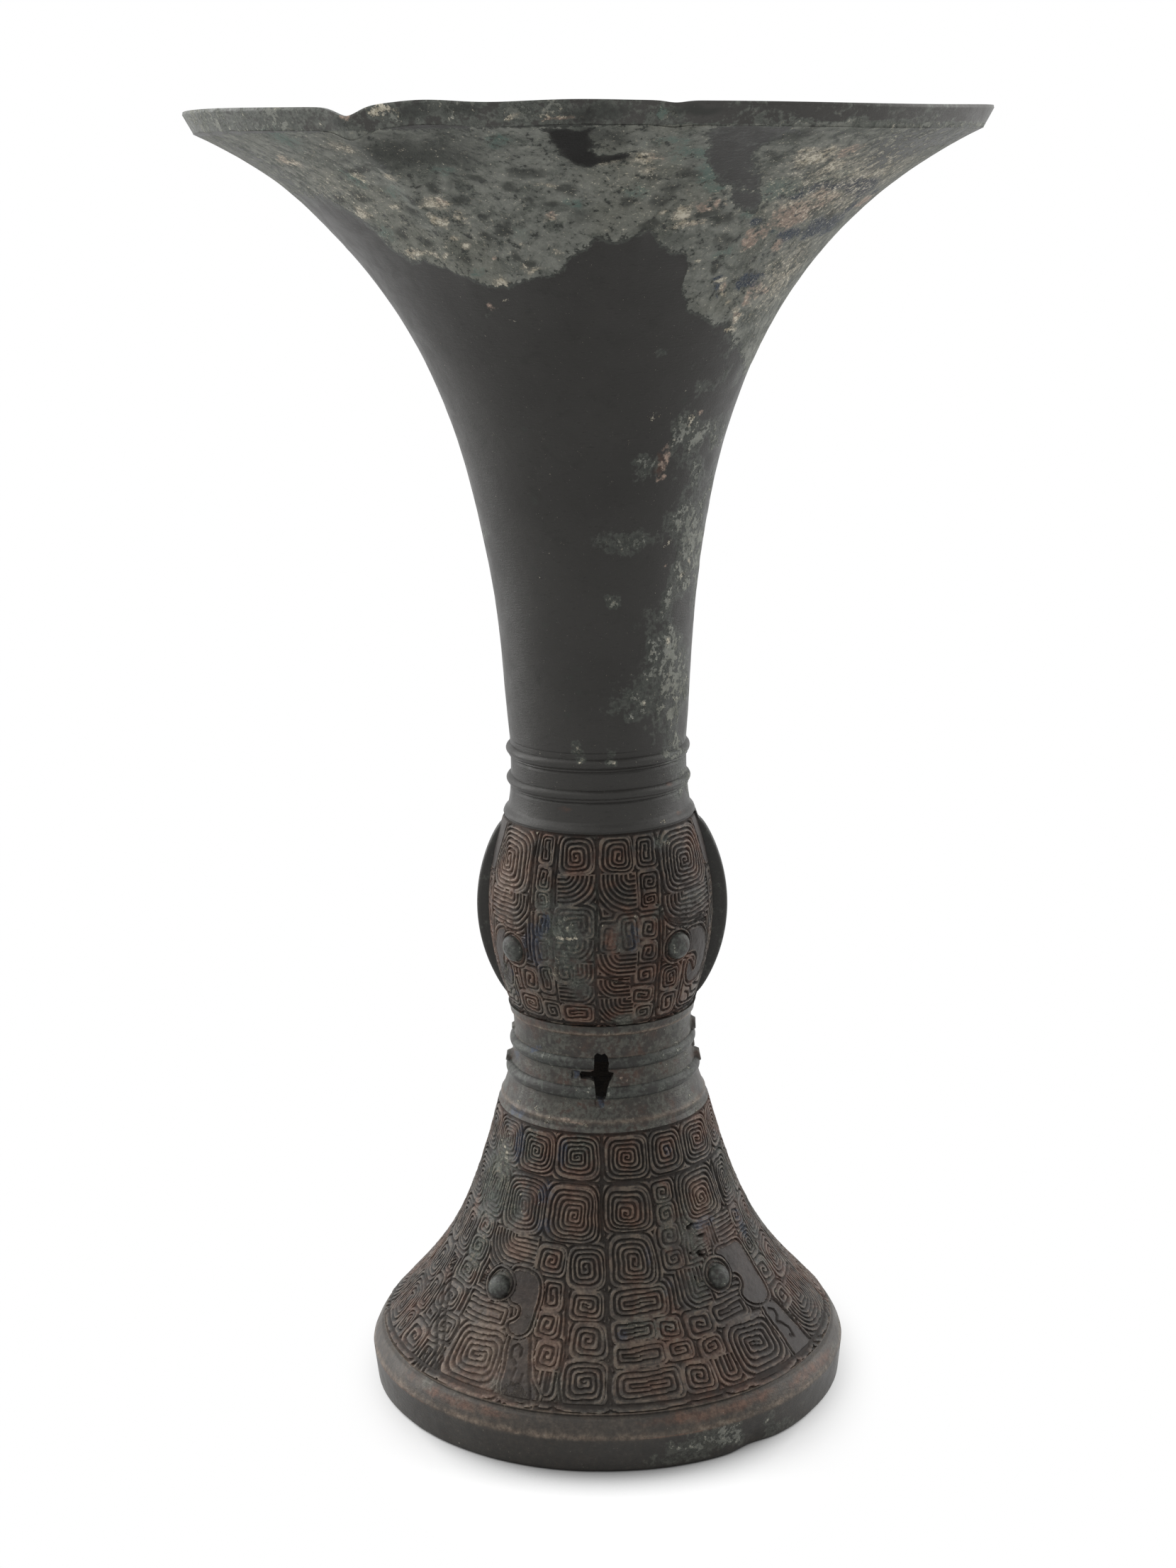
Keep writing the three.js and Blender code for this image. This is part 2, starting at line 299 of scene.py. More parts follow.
def length_at(curve, height):
    """How far along a curve each height lies."""
    steps = np.hypot(*np.diff(curve, axis=0).T)
    return np.interp(height, curve[:, 1], np.concatenate([[0.0], np.cumsum(steps)]))


def even_heights(curve, count):
    """Heights that divide a curve into steps of one length."""
    along = length_at(curve, curve[:, 1])
    return np.interp(np.linspace(0.0, along[-1], count), along, curve[:, 1])


def inner_curve(curve):
    """The outline of the inside face, a wall's thickness away and at the same heights."""
    slope = np.gradient(curve[:, 0], curve[:, 1])
    return np.stack([curve[:, 0] - WALL * np.sqrt(1.0 + slope ** 2), curve[:, 1]], axis=1)


# The mouth's own unevenness

# Rises and dips of the mouth's edge, as (angle, width, height)
MOUTH_BUMPS = [(-21.0, 6.5, 0.9), (-3.0, 9.0, 0.45), (-32.0, 2.6, -1.6), (10.5, 1.6, -0.35)]
# The heights between which the flare starts to follow the edge, and to be a little oval
WAVE_SPAN = (225.0, 263.0)
OVAL_SPAN = (150.0, 262.0)


def mouth_wave(angle):
    """How far the mouth's edge stands above or below its mean height."""
    wave = -0.15 - 0.72 * np.sin(np.radians(angle)) + 0.2 * np.sin(np.radians(5 * angle + 40))
    return wave + bumps(angle, MOUTH_BUMPS)


def flat_points(angle, radius, height):
    """Points in millimetres before any unevenness, for noise to be read at."""
    turn = np.radians(angle)
    return np.stack([radius * np.sin(turn), -radius * np.cos(turn), height], axis=-1)


def placed(angle, radius, height):
    """Points in metres, with the trumpet's upper part following the wave of the mouth."""
    lift = mouth_wave(angle) * smooth(*WAVE_SPAN, height)
    swell = 1.0 + 0.0035 * np.sin(2 * np.radians(angle) + 0.7) * smooth(*OVAL_SPAN, height)
    return flat_points(angle, radius * swell, height + lift) * MM


# Meshes

# Edges that turn by more degrees than this are sharp, on whole meshes and on those that are cut
SHARP = 50.0
CUT_SHARP = 40.0


def mesh_object(name, points, faces):
    mesh = bpy.data.meshes.new(name)
    mesh.from_pydata(points, [], faces)
    mesh.update()
    mesh.shade_smooth()
    mesh.set_sharp_from_angle(angle=math.radians(SHARP))
    made = bpy.data.objects.new(name, mesh)
    bpy.context.scene.collection.objects.link(made)
    return made


def points_of(piece):
    """A mesh's points in millimetres."""
    points = np.empty(len(piece.data.vertices) * 3)
    piece.data.vertices.foreach_get("co", points)
    return points.reshape(-1, 3) / MM


def quads(start, rows, columns, spans, inward=False):
    """The faces between a grid's rows, whose points are numbered from a start."""
    i, j = np.meshgrid(np.arange(rows - 1), np.arange(spans), indexing="ij")
    k = (j + 1) % columns
    low, high = start + i * columns, start + (i + 1) * columns
    corners = [low + j, high + j, high + k, low + k] if inward else [low + j, low + k, high + k, high + j]
    return np.stack(corners, -1).reshape(-1, 4).tolist()


def shell(name, outer, inner, wrap):
    """A closed shell between an outside and an inside grid of (rows, columns, xyz) points.

    The inside may be coarser: each of its columns then spans several of the outside's.
    """
    rows, columns = outer.shape[:2]
    inner_rows, inner_columns = inner.shape[:2]
    points = np.concatenate([outer.reshape(-1, 3), inner.reshape(-1, 3)])
    start = rows * columns
    spans = columns if wrap else columns - 1
    inner_spans = inner_columns if wrap else inner_columns - 1
    step = spans // inner_spans
    faces = quads(0, rows, columns, spans)
    faces += quads(start, inner_rows, inner_columns, inner_spans, inward=True)
    top, inner_top = (rows - 1) * columns, start + (inner_rows - 1) * inner_columns
    for j in range(inner_spans):
        across = [(j * step + s) % columns for s in range(step + 1)]
        k = (j + 1) % inner_columns
        faces.append(across[::-1] + [start + j, start + k])
        faces.append([top + c for c in across] + [inner_top + k, inner_top + j])
    if not wrap:
        left = list(range(0, rows * columns, columns))
        inner_left = list(range(start, start + inner_rows * inner_columns, inner_columns))
        faces.append(left + inner_left[::-1])
        faces.append([c + columns - 1 for c in left[::-1]] + [c + inner_columns - 1 for c in inner_left])
    return mesh_object(name, points, faces)


def grid(angles, heights, radii):
    """Angles, radii and heights as rows by columns."""
    angle, height = np.meshgrid(angles, heights)
    radius = np.broadcast_to(np.asarray(radii).reshape(len(heights), -1), angle.shape)
    return angle, radius, height


def inside_grid(curve, angles, rows):
    """A grid on the inside face of a tier's wall."""
    inside = inner_curve(curve)
    heights = even_heights(inside, rows)
    return grid(angles, heights, radius_at(inside, heights))


# Distances on a tier's wall

def nearest(angle, along, line, radius):
    """How far points lie from a line, in millimetres. Both are placed by angle and by length up the wall."""
    least = np.full(np.shape(angle), np.inf)
    for (start, low), (end, high) in zip(line, line[1:]):
        side, run = np.radians(angle - start) * radius, math.radians(end - start) * radius
        rise, climb = along - low, high - low
        share = np.clip((side * run + rise * climb) / (run * run + climb * climb), 0.0, 1.0)
        least = np.minimum(least, np.hypot(side - share * run, rise - share * climb))
    return least


def encloses(line, angle, along):
    """Whether a closed line goes round each point."""
    crossed = np.zeros(np.shape(angle), bool)
    for (start, low), (end, high) in zip(line, line[1:]):
        if low != high:
            spans = (low > along) != (high > along)
            crossed ^= spans & (angle < (end - start) * (along - low) / (high - low) + start)
    return crossed


def spots(angle, height, places):
    """The strongest of some soft spots, each (angle, height, half width, half height, strength)."""
    total = np.zeros_like(angle)
    for middle, level, wide, tall, strength in places:
        away = turned(angle, middle) / wide
        total = np.maximum(total, strength * np.exp(-(away ** 2 + ((height - level) / tall) ** 2)))
    return total


# Where patina lies, by angle and height

# The lower edge of the large green patch round the mouth
PATCH_EDGE = [
    (-180, 232), (-150, 243), (-120, 229), (-95, 238), (-75, 250), (-62, 251), (-56, 248), (-52.5, 246),
    (-51, 241.5), (-48.5, 239.4), (-44, 238.2), (-38, 237.4), (-35, 236.9), (-32.5, 235.4), (-29.5, 234.2),
    (-26, 233.5), (-21.5, 233.3), (-18, 234.2), (-13.5, 235.3), (-8, 236.4), (-5.5, 237.2), (-4, 239),
    (-1, 240.8), (1, 241.8), (8, 241.8), (10.5, 242.8), (13, 243.2), (14.5, 241.6), (15.8, 240.2),
    (18.5, 238.6), (21.5, 239), (22.6, 237), (23.2, 233), (24.2, 231), (27, 229), (30, 228), (36, 226.4),
    (42, 225.4), (46, 223.8), (52, 222.3), (60, 219), (75, 214), (95, 222), (120, 236), (150, 228),
    (180, 232),
]
# Outlines of the bare places inside that patch, each after its edge's softness and how bare it is
BARE = [
    (1.3, 0.86, [
        (15, 262), (15.4, 258.5), (17, 256.6), (18.6, 254), (20.4, 252), (23, 250.6), (25.2, 249.8),
        (27, 247.6), (29.5, 246.3), (33, 246.6), (33.4, 248), (30.6, 250), (28.8, 252.2), (26.6, 253.6),
        (25, 256.6), (25.6, 258.8), (28, 260.4), (26, 262),
    ]),
    (3.2, 0.6, [
        (45, 262), (44.6, 257.5), (46.5, 255), (50, 252.6), (56, 252.2), (60, 254.4), (70, 256.5),
        (84, 258), (84, 262),
    ]),
    (3.0, 0.5, [(-84, 262), (-84, 252), (-70, 251.5), (-62, 253), (-60, 258), (-64, 262)]),
    (1.6, 0.9, [(112, 262), (116, 251), (128, 248), (141, 252), (147, 262)]),
    (2.4, 0.7, [(-160, 262), (-156, 254), (-140, 251), (-124, 254), (-121, 262)]),
]
# The darkest bare place, with a tail
BLACK = [
    (-5.8, 260.2), (-3, 261.4), (0.4, 260.6), (1, 258.6), (-0.4, 256.8), (1.2, 256), (5, 256.2),
    (6.6, 255.8), (3.4, 255.2), (-1, 254.6), (-3, 255.4), (-4.2, 257.4), (-4.6, 258.8), (-5.4, 259.4),
]
# Below, each spot is (angle, height, half width, half height, strength)
THIN_GREEN = [
    (34, 206, 14, 6.5, 0.62), (22, 200, 10, 5, 0.55), (62, 200, 22, 12, 0.66), (70, 180, 26, 20, 0.7),
    (45, 160, 20, 14, 0.64), (20, 148, 18, 8, 0.55), (60, 150, 26, 12, 0.7), (16, 183, 20, 2.5, 0.52),
    (10, 171.6, 6, 1.6, 0.62), (-14, 141.5, 4, 1.8, 0.8), (15, 142, 12, 2.6, 0.72),
    (-110, 190, 22, 22, 0.6), (140, 175, 26, 26, 0.66), (-150, 205, 20, 12, 0.68), (180, 152, 24, 10, 0.6),
    (-75, 182, 8, 3, 0.6), (105, 232, 18, 14, 0.7), (75, 131, 22, 6, 0.66), (-160, 130, 30, 7, 0.6),
    (-28, 229, 3, 3, 0.55), (-24, 257.6, 3, 0.6, 0.6), (24, 258, 1.4, 0.8, 0.7), (28, 249.8, 2.4, 0.5, 0.8),
    (22, 220, 3, 1.4, 0.4), (30, 4, 14, 4, 0.8), (44, 3, 8, 3, 0.72), (12, 4, 8, 3, 0.6),
    (-120, 6, 25, 5, 0.6), (100, 8, 30, 6, 0.6), (25, 138, 8, 0.9, 0.9), (11, 138.7, 6, 0.7, 1.1),
    (60, 140, 16, 5, 0.7), (-45, 10.5, 10, 1.4, 0.5), (-13, 141, 3.6, 1.7, 1.2),
    (-12, 138.9, 3.6, 0.7, 1.2), (45, 139, 4, 1.2, 1.1), (36, 141.4, 3, 0.8, 1.0), (52, 215, 15, 10, 0.95),
    (54, 198, 17, 12, 0.85), (52, 184, 14, 12, 0.75), (46, 166, 13, 12, 0.7), (47, 151, 14, 8, 0.8),
    (-60, 263.2, 26, 3, 0.66), (-25, 263.6, 6, 2, 0.66), (-8, 263.2, 8, 2.6, 0.8),
    (8, 263.4, 3.4, 1.8, 0.8), (19, 262.4, 8, 0.8, 0.5), (40, 261.6, 24, 0.5, 0.62),
    (-16, 262.6, 5, 1.2, 0.5), (120, 263, 30, 2, 0.6), (-130, 263, 30, 2, 0.6),
]
TEAL = [
    (38, 249.6, 8, 1.6, 0.8), (47, 252.5, 6, 1.2, 0.6), (-42.5, 253, 2.5, 1.8, 1.0),
    (-47, 260, 4, 2.6, 0.7), (-24, 254, 3, 1.2, 0.6), (-3, 248.5, 2.2, 1.2, 0.8), (15, 256.5, 4, 1.8, 0.8),
    (19, 253, 2.4, 2.4, 1.0), (21.5, 250.6, 1.8, 1.0, 1.0), (11, 258.4, 4, 1.2, 0.7),
    (35, 250, 4.5, 2.2, 0.95), (32, 246, 2.4, 1.4, 0.8), (7.5, 250, 3, 1.6, 0.7), (-12, 259, 2, 1.2, 0.8),
    (32, 238.6, 4, 2.2, 0.6), (-28, 236, 4, 1.0, 0.6), (-48, 243.5, 4, 2.4, 0.6), (8, 263.5, 1.6, 1.4, 1.3),
    (41, 242, 3, 1.6, 0.7), (-36, 250.4, 5, 1.6, 0.5), (44, 251, 4, 0.8, 0.8), (-14, 243, 4, 1.6, 0.4),
    (40, 222, 8, 2, 0.4), (-105, 238, 14, 4, 0.5), (160, 240, 14, 4, 0.5),
]
# Dark patina spots. Those on the waist, between 67 and 78 mm, are painted shade along the edges of its
# string ridges and beside its stubs
DARK = [
    (-27, 257.2, 13, 3.2, 0.72), (-20, 259.4, 7, 1.8, 0.5), (-40, 259, 8, 2.4, 0.3),
    (13, 250.6, 2.4, 1.2, 0.6), (-35, 247, 2.2, 1.0, 0.8), (-30, 238, 2.0, 1.0, 0.7),
    (-2, 245.5, 3, 1.6, 0.5), (30, 241, 3, 1.6, 0.6), (-43, 243.5, 2, 1.1, 0.9), (-47, 250, 2, 1.0, 0.8),
    (-37, 241.5, 2.5, 0.9, 0.7), (-32.5, 249, 1.7, 0.8, 0.9), (-24.5, 248.8, 1.6, 0.8, 0.9),
    (-28, 251, 1.5, 1.2, 0.8), (-19, 253, 2, 0.8, 0.9), (-17.5, 243.6, 2.6, 1.5, 0.9),
    (-22, 242.5, 2.2, 1.2, 0.75), (-13.5, 251, 1.6, 1.0, 0.8), (-11, 248.6, 1.4, 0.8, 0.7),
    (-4, 250.8, 1.8, 0.9, 1.0), (-7, 248.2, 1.4, 0.8, 0.8), (-13.5, 237.8, 2.0, 0.9, 1.0),
    (-17, 239, 1.4, 0.9, 0.8), (-20.5, 246.2, 1.6, 0.7, 0.7), (-10, 253.6, 3.0, 0.8, 1.0),
    (3, 259.2, 2.8, 1.6, 0.8), (12, 248.6, 1.8, 1.1, 0.9), (6.5, 248.2, 1.6, 0.9, 0.9),
    (10, 252.4, 1.8, 0.8, 0.8), (15.5, 253, 2.0, 1.0, 0.8), (23, 246.2, 3.0, 1.1, 0.9),
    (11.5, 244.4, 2.8, 0.8, 1.0), (27, 244.8, 3, 1.2, 0.7), (31, 235.8, 1.4, 0.8, 0.8),
    (44, 225.2, 1.6, 0.9, 1.1), (28.5, 259, 3, 1.2, 0.7), (28, 255.5, 1.5, 0.8, 0.7),
    (-39, 254.6, 3, 0.5, 1.0), (-34, 255, 3, 0.25, 1.1), (-53.5, 249.2, 2, 0.6, 0.8),
    (50, 246, 4, 1.2, 0.6), (57, 245, 3, 1.0, 0.8), (55, 243.2, 1.0, 0.3, 1.4), (48, 234.6, 1.4, 0.4, 0.9),
    (-29.5, 182.5, 0.6, 1.2, 1.1), (-28.5, 192, 1.8, 0.5, 0.8), (-16, 156.3, 4, 0.7, 0.7),
    (-22, 159.3, 2, 0.5, 0.6), (-12, 153.2, 2.5, 0.7, 0.8), (-20, 148.5, 4, 0.5, 0.6),
    (-10, 158, 4, 0.4, 0.6), (-33, 178, 5, 0.35, 0.7), (-40, 172, 1.4, 0.6, 0.8), (-46, 173.3, 2, 0.4, 0.8),
    (-42, 167, 2, 0.7, 0.8), (-30, 166.8, 3, 0.5, 0.7), (-58, 171.5, 1.5, 0.4, 0.9),
    (-60, 169, 3, 0.4, 0.8), (-9, 206, 1.2, 0.6, 0.7), (-28, 205.6, 1.2, 0.4, 0.8),
    (36, 211, 1.1, 0.8, 0.9), (33.7, 199.6, 0.7, 0.4, 1.2), (28, 168.5, 1.2, 0.5, 0.8),
    (31, 161, 5, 1.0, 0.6), (48, 168, 2, 1.4, 0.5), (37, 156, 4, 1.2, 0.5), (22, 166, 6, 2, 0.35),
    (66, 187, 2, 2.4, 0.5), (-18, 202.5, 1.6, 0.25, 0.7), (-15.5, 201.2, 1.6, 0.25, 0.7),
    (-12.8, 199.8, 1.6, 0.25, 0.7), (-22, 264, 3, 1.4, 0.8), (-16, 264.4, 3, 1.0, 0.8),
    (2, 263.4, 3, 1.6, 0.8), (13, 263.6, 3.6, 1.0, 0.8), (-33, 262.4, 1.6, 1.2, 0.8),
    (-40, 256.4, 2, 0.5, 0.5), (-44, 74.2, 20, 1.0, 0.8), (-30, 68.0, 30, 0.6, 0.7),
    (36, 74.0, 24, 0.6, 0.7), (34, 67.9, 30, 0.6, 0.6), (-52, 77, 14, 1.3, 1.0), (40, 76.4, 16, 0.7, 0.7),
    (-12, 83, 30, 0.5, 0.9), (30, 83.2, 30, 0.4, 0.7), (-22, 70.0, 16, 0.5, 0.5), (40, 70.4, 12, 0.6, 0.6),
    (12, 68.2, 14, 0.35, 0.9), (78, 76, 5, 1.2, 0.8), (76, 72.8, 4, 0.9, 1.0), (-20, 2, 10, 2, 0.3),
]
CREAM = [
    (52, 250, 22, 8, 0.46), (58, 234, 14, 8, 0.4), (-52, 250, 14, 7, 0.2), (-22, 243, 10, 6, 0.1),
    (8, 252, 9, 5, 0.14), (-29, 248.4, 2.5, 1.0, 0.72), (-26, 246, 2, 1.2, 0.66),
    (-30.5, 245.5, 1.5, 0.8, 0.95), (-31.5, 247.6, 1, 0.4, 0.8), (-27.5, 241, 1, 0.6, 0.9),
    (-29, 242.4, 0.9, 0.4, 1.0), (-38.5, 248, 1.4, 0.5, 0.8), (-33.5, 253.4, 1.6, 0.7, 0.7),
    (-50, 246.8, 2, 1.2, 0.8), (-43, 239.4, 4, 0.8, 0.85), (-38, 239.9, 2, 0.5, 0.7),
    (-34, 238.8, 2, 0.4, 0.7), (-22.5, 234, 2.4, 0.7, 0.95), (-13, 236.6, 2.4, 0.45, 0.8),
    (-15.3, 237.5, 0.9, 0.5, 0.8), (-7.5, 239.6, 1, 0.5, 0.8), (-14.5, 241.4, 0.6, 0.3, 1.0),
    (-23, 230.9, 1.3, 0.3, 1.2), (-23.5, 226.8, 1, 0.6, 0.7), (-36.6, 236.2, 0.5, 0.3, 1.0),
    (-32, 240.9, 0.6, 0.3, 1.0), (-55.5, 256, 3, 1.2, 0.66), (-37, 258.5, 3, 1.2, 0.5),
    (-41, 253.6, 1.4, 1.2, 0.6), (-7, 251.2, 1.6, 0.4, 0.8), (-8, 245.5, 1, 0.8, 0.6),
    (17.7, 246, 1.5, 0.9, 1.5), (13.7, 246.5, 0.8, 0.35, 1.2), (20, 244.2, 4, 0.8, 0.75),
    (7.5, 255.6, 1.6, 1.6, 0.75), (9, 253.8, 1.6, 0.8, 0.6), (2, 255.4, 2.4, 0.8, 0.6),
    (36, 255.5, 4, 1.6, 0.8), (42, 253.6, 3, 1.4, 0.62), (33, 257, 1.2, 0.5, 0.7),
    (34.5, 233.4, 1.6, 0.4, 1.3), (36, 232, 1, 0.8, 0.7), (37.5, 231, 1, 0.7, 0.9),
    (40.5, 229.4, 1.2, 0.6, 0.8), (46, 224.3, 2.6, 0.4, 1.4), (46.2, 226, 1.0, 0.8, 0.9),
    (45, 227.7, 1.4, 0.7, 0.7), (57, 249, 1.6, 0.5, 0.7), (49, 253, 1.5, 0.8, 0.6),
    (24.5, 237.4, 0.6, 0.35, 1.0), (0.5, 237.9, 0.5, 0.3, 1.0), (40, 247, 1.2, 0.6, 0.8),
    (43.8, 246.6, 1.2, 0.4, 0.9), (22, 207.8, 1.8, 0.7, 0.85), (25.5, 208, 1.2, 0.5, 0.7),
    (31, 208, 1.2, 0.6, 0.8), (42, 207.6, 2.2, 0.7, 1.2), (42, 206.4, 2, 0.4, 0.9),
    (50, 207.8, 1.5, 0.5, 0.7), (14.7, 203.4, 1.1, 0.55, 1.1), (12, 203.3, 0.5, 0.3, 0.9),
    (33, 203, 2, 0.5, 0.5), (41.5, 182.7, 2.4, 0.55, 0.95), (38, 181.8, 1.6, 0.4, 0.7),
    (38.5, 176.8, 1.5, 0.4, 1.1), (42, 178, 2, 0.5, 0.6), (46, 162, 1.7, 0.6, 0.9),
    (55, 175.8, 2, 0.4, 0.8), (60, 178, 1.5, 0.4, 0.8), (55, 159.8, 1, 0.4, 0.8),
    (46, 219.2, 0.9, 0.4, 0.7), (53, 215.8, 0.7, 0.3, 0.7), (28, 220.3, 0.5, 0.3, 0.6),
    (30, 150.2, 2, 0.4, 0.7), (29.2, 150.8, 0.6, 0.4, 0.7), (11.7, 153.2, 0.9, 0.6, 0.55),
    (35.5, 159.6, 2, 0.4, 0.5), (47, 155.2, 2, 0.4, 0.6), (42, 150.5, 2, 0.4, 0.5),
    (25, 141.4, 1.6, 0.3, 0.7), (36.5, 141.6, 1, 0.4, 0.9), (5, 144.3, 0.5, 0.3, 0.8),
    (-13, 141.0, 2.6, 1.2, 0.4), (-12, 138.9, 3.0, 0.5, 0.5), (9, 138.7, 2.4, 0.5, 0.4),
    (-26, 212.2, 0.9, 0.3, 0.7), (-45, 203.5, 1.6, 0.5, 0.5), (-30, 176.3, 0.8, 0.3, 0.8),
    (-29, 177.8, 0.7, 0.3, 0.6), (-27.5, 264.2, 2.6, 0.9, 0.95), (-4, 262.8, 3, 0.8, 0.62),
    (-10, 262.8, 1.6, 0.5, 0.6), (-31.5, 264.6, 0.6, 0.4, 1.0), (120, 240, 8, 4, 0.6),
    (-130, 236, 8, 3, 0.6), (165, 246, 8, 4, 0.6), (16, 64.2, 4, 0.8, 0.55), (-42, 64.4, 2.4, 0.7, 0.7),
    (-10, 63.1, 4, 0.5, 0.7), (-42, 81.4, 6, 0.3, 0.9), (5, 81.6, 3, 0.3, 0.8), (26.5, 80, 1.2, 0.7, 0.7),
    (-14, 79.4, 1.2, 1.2, 0.5), (-58, 64.6, 2, 0.6, 0.7), (-20, 69.2, 1.0, 0.4, 0.7),
    (-35, 62.9, 6, 0.4, 0.6), (35, 81, 3, 0.6, 0.45), (42, 125.6, 4, 0.4, 0.7), (64, 128.8, 0.9, 0.3, 0.8),
]
PINK = [
    (43.5, 245.2, 6, 3.2, 0.85), (38, 242, 3.6, 2.4, 0.8), (50, 247.5, 5, 1.6, 0.7),
    (49, 231.5, 5, 2.2, 0.6), (42, 246, 2.8, 1.6, 0.95), (45, 244, 3.5, 1.8, 0.95),
    (48, 244.6, 2.5, 1.0, 0.9), (37, 241, 2.6, 1.8, 0.85), (35, 242.6, 1.6, 1.0, 0.8),
    (46.5, 239.7, 1.8, 1.2, 0.85), (46, 249, 3, 1.0, 0.75), (50, 248, 2.4, 1.2, 0.6),
    (54, 231, 3, 1.2, 0.85), (48, 229.5, 3, 1.2, 0.6), (36.5, 232, 1.4, 1.2, 0.7), (46, 226.6, 1.2, 1, 0.7),
    (41, 256, 3, 1.2, 0.6), (9, 256, 2, 1, 0.5), (22, 247.8, 4, 1, 0.66), (21, 244, 3, 0.8, 0.6),
    (-28.5, 229.4, 1.4, 1.2, 0.42), (-21.8, 238.2, 1, 0.7, 0.7), (-8, 246, 1.5, 1, 0.7),
    (-56, 256, 3, 1.4, 0.6), (70, 247, 5, 1.4, 0.85), (-28, 248.6, 2.4, 0.8, 0.6), (46, 208, 3, 0.6, 0.8),
    (31, 200, 4, 3.4, 0.55), (30, 196, 3, 1.0, 0.55), (-4, 262.4, 3, 0.7, 0.7), (-32, 263.6, 0.9, 0.8, 0.7),
    (130, 241, 7, 3, 0.7), (-150, 242, 8, 4, 0.6), (41, 178.4, 2, 0.4, 0.5), (-20, 63.3, 12, 0.5, 0.55),
    (12, 72, 2.4, 1.0, 0.55),
]
BLUE = [
    (59, 249.6, 8, 2.0, 0.85), (60, 243, 9, 1.8, 0.85), (48, 241.4, 5, 1.3, 0.8), (44, 250, 7, 0.9, 0.75),
    (44, 233.6, 6, 1.9, 0.85), (56, 250.4, 8, 1.4, 1.3), (47, 250.2, 5, 0.9, 1.1), (61, 249, 3, 1.5, 0.9),
    (54, 249.4, 2, 1, 0.7), (40, 248.8, 2.4, 0.7, 0.9), (36.5, 248.5, 1.2, 0.5, 0.7),
    (64, 246, 2.5, 2, 0.9), (63, 243, 4, 1.4, 0.95), (56, 242, 4, 1.4, 0.95), (50, 241.8, 3, 1.2, 0.8),
    (45, 241.2, 1.6, 0.9, 0.8), (41, 242, 1.6, 0.8, 0.6), (35.5, 244.2, 2, 0.8, 0.8),
    (65, 241.4, 3, 0.9, 0.7), (45, 233.5, 4, 1.6, 1.1), (48, 232.3, 3, 0.8, 0.8),
    (33, 234.2, 1.8, 0.5, 0.9), (34, 232.4, 1.4, 1.4, 0.8), (35, 230.8, 0.9, 0.8, 0.8),
    (43, 229.6, 0.9, 0.5, 0.7), (70, 249, 4, 0.8, 0.7), (140, 246, 8, 3, 0.7), (-118, 244, 8, 3, 0.6),
    (-18, 72.6, 2.4, 0.9, 1.3), (-3, 67.2, 2.6, 0.8, 1.3), (-50, 76.6, 8, 0.8, 0.6), (-72, 73, 6, 1.8, 0.7),
    (-52, 62.4, 5, 1.0, 0.9), (-60, 62.6, 4, 1.0, 0.7),
]
RED = [
    (-35, 80, 12, 3, 0.72), (-38, 72, 8, 2, 0.5), (35, 77.6, 18, 1.8, 0.8), (30, 65, 14, 3, 0.8),
    (12, 72, 5, 1.5, 0.6), (-48, 67, 8, 2, 0.75), (-20, 63.4, 16, 1.2, 0.8), (-42, 82, 8, 0.7, 0.66),
    (45, 73, 8, 2, 0.55), (-60, 66, 6, 2, 0.75), (150, 75, 30, 5, 0.6), (-140, 68, 25, 4, 0.6),
    (-4, 146, 8, 2.4, 0.42), (30, 199, 5, 4, 0.5), (-40, 10.2, 30, 1.6, 0.6), (25, 10.2, 40, 1.8, 0.62),
    (60, 9.6, 24, 2, 0.66), (-22, 129, 7, 1.5, 0.5), (50, 132.5, 6, 0.6, 0.5), (60, 126, 10, 0.8, 0.46),
    # Below, the spots at 7.4 and 7.5 mm are thin ruddy lines along the foot's crease, partly colour and
    # partly a painted highlight on its edge
    (62, 175, 10, 3, 0.5), (44, 158, 8, 3, 0.45), (45, 190, 8, 5, 0.36), (-60, 7.4, 20, 0.4, 0.7),
    (20, 7.5, 30, 0.3, 0.6),
]


def depth_in(area, angle, along, radius):
    """How far inside a closed outline on the trumpet each point lies, below 0 outside it."""
    corners = np.array([*area, area[0]], float)
    corners[:, 1] = length_at(TRUMPET_OUTLINE, corners[:, 1])
    away = nearest(angle, along, corners, radius)
    return np.where(encloses(corners, angle, along), away, -away)


def swayed(angle, height, points, size, reach, seed):
    """Places moved a little by noise, so that what is drawn at them has natural edges."""
    radius = radius_of(points)
    side = reach * 2.0 * (clouds(points, size, seed, 4) - 0.5)
    rise = reach * 1.5 * (clouds(points, size, seed + 6, 4) - 0.5)
    return turned(angle) + np.degrees(side / radius), height + rise, radius


def green_cover(angle, height, points):
    """How much green lies at each place: up to 0.6 a thin stain, and above that a paler crust."""
    angle, level, radius = swayed(angle, height, points, 5.0, 2.0, 11)
    along = length_at(TRUMPET_OUTLINE, level)
    edge = np.interp(angle, *np.array(PATCH_EDGE, float).T)
    edge = edge + 18.0 * (clouds(points, 15.0, 19, 4) - 0.5) * smooth(62.0, 95.0, np.abs(angle))
    softness = 1.0 + 2.2 * smooth(-42.0, -54.0, angle)
    patch = smooth(-1.4, 1.3, (level - edge) / softness)
    patch = patch * smooth(LIP_BOTTOM + 0.5, LIP_BOTTOM - 0.3, height)
    for softness, bareness, area in BARE:
        inside = depth_in(area, angle, along, radius)
        patch = patch * (1.0 - bareness * smooth(-softness, softness, inside))
    patch = 1.45 * patch * (1.0 - black_cover(angle, level, points))
    broken = 0.15 + 1.1 * smooth(0.33, 0.62, clouds(points, 6.0, 31, 4))
    return np.maximum(patch, broken * spots(angle, level, THIN_GREEN))


def black_cover(angle, height, points):
    """How much of the darkest bare place lies at each point."""
    inside = depth_in(BLACK, angle, length_at(TRUMPET_OUTLINE, height), radius_of(points))
    return smooth(-1.3, 1.1, inside + 3.0 * (clouds(points, 2.6, 77, 3) - 0.5))


# The cast relief

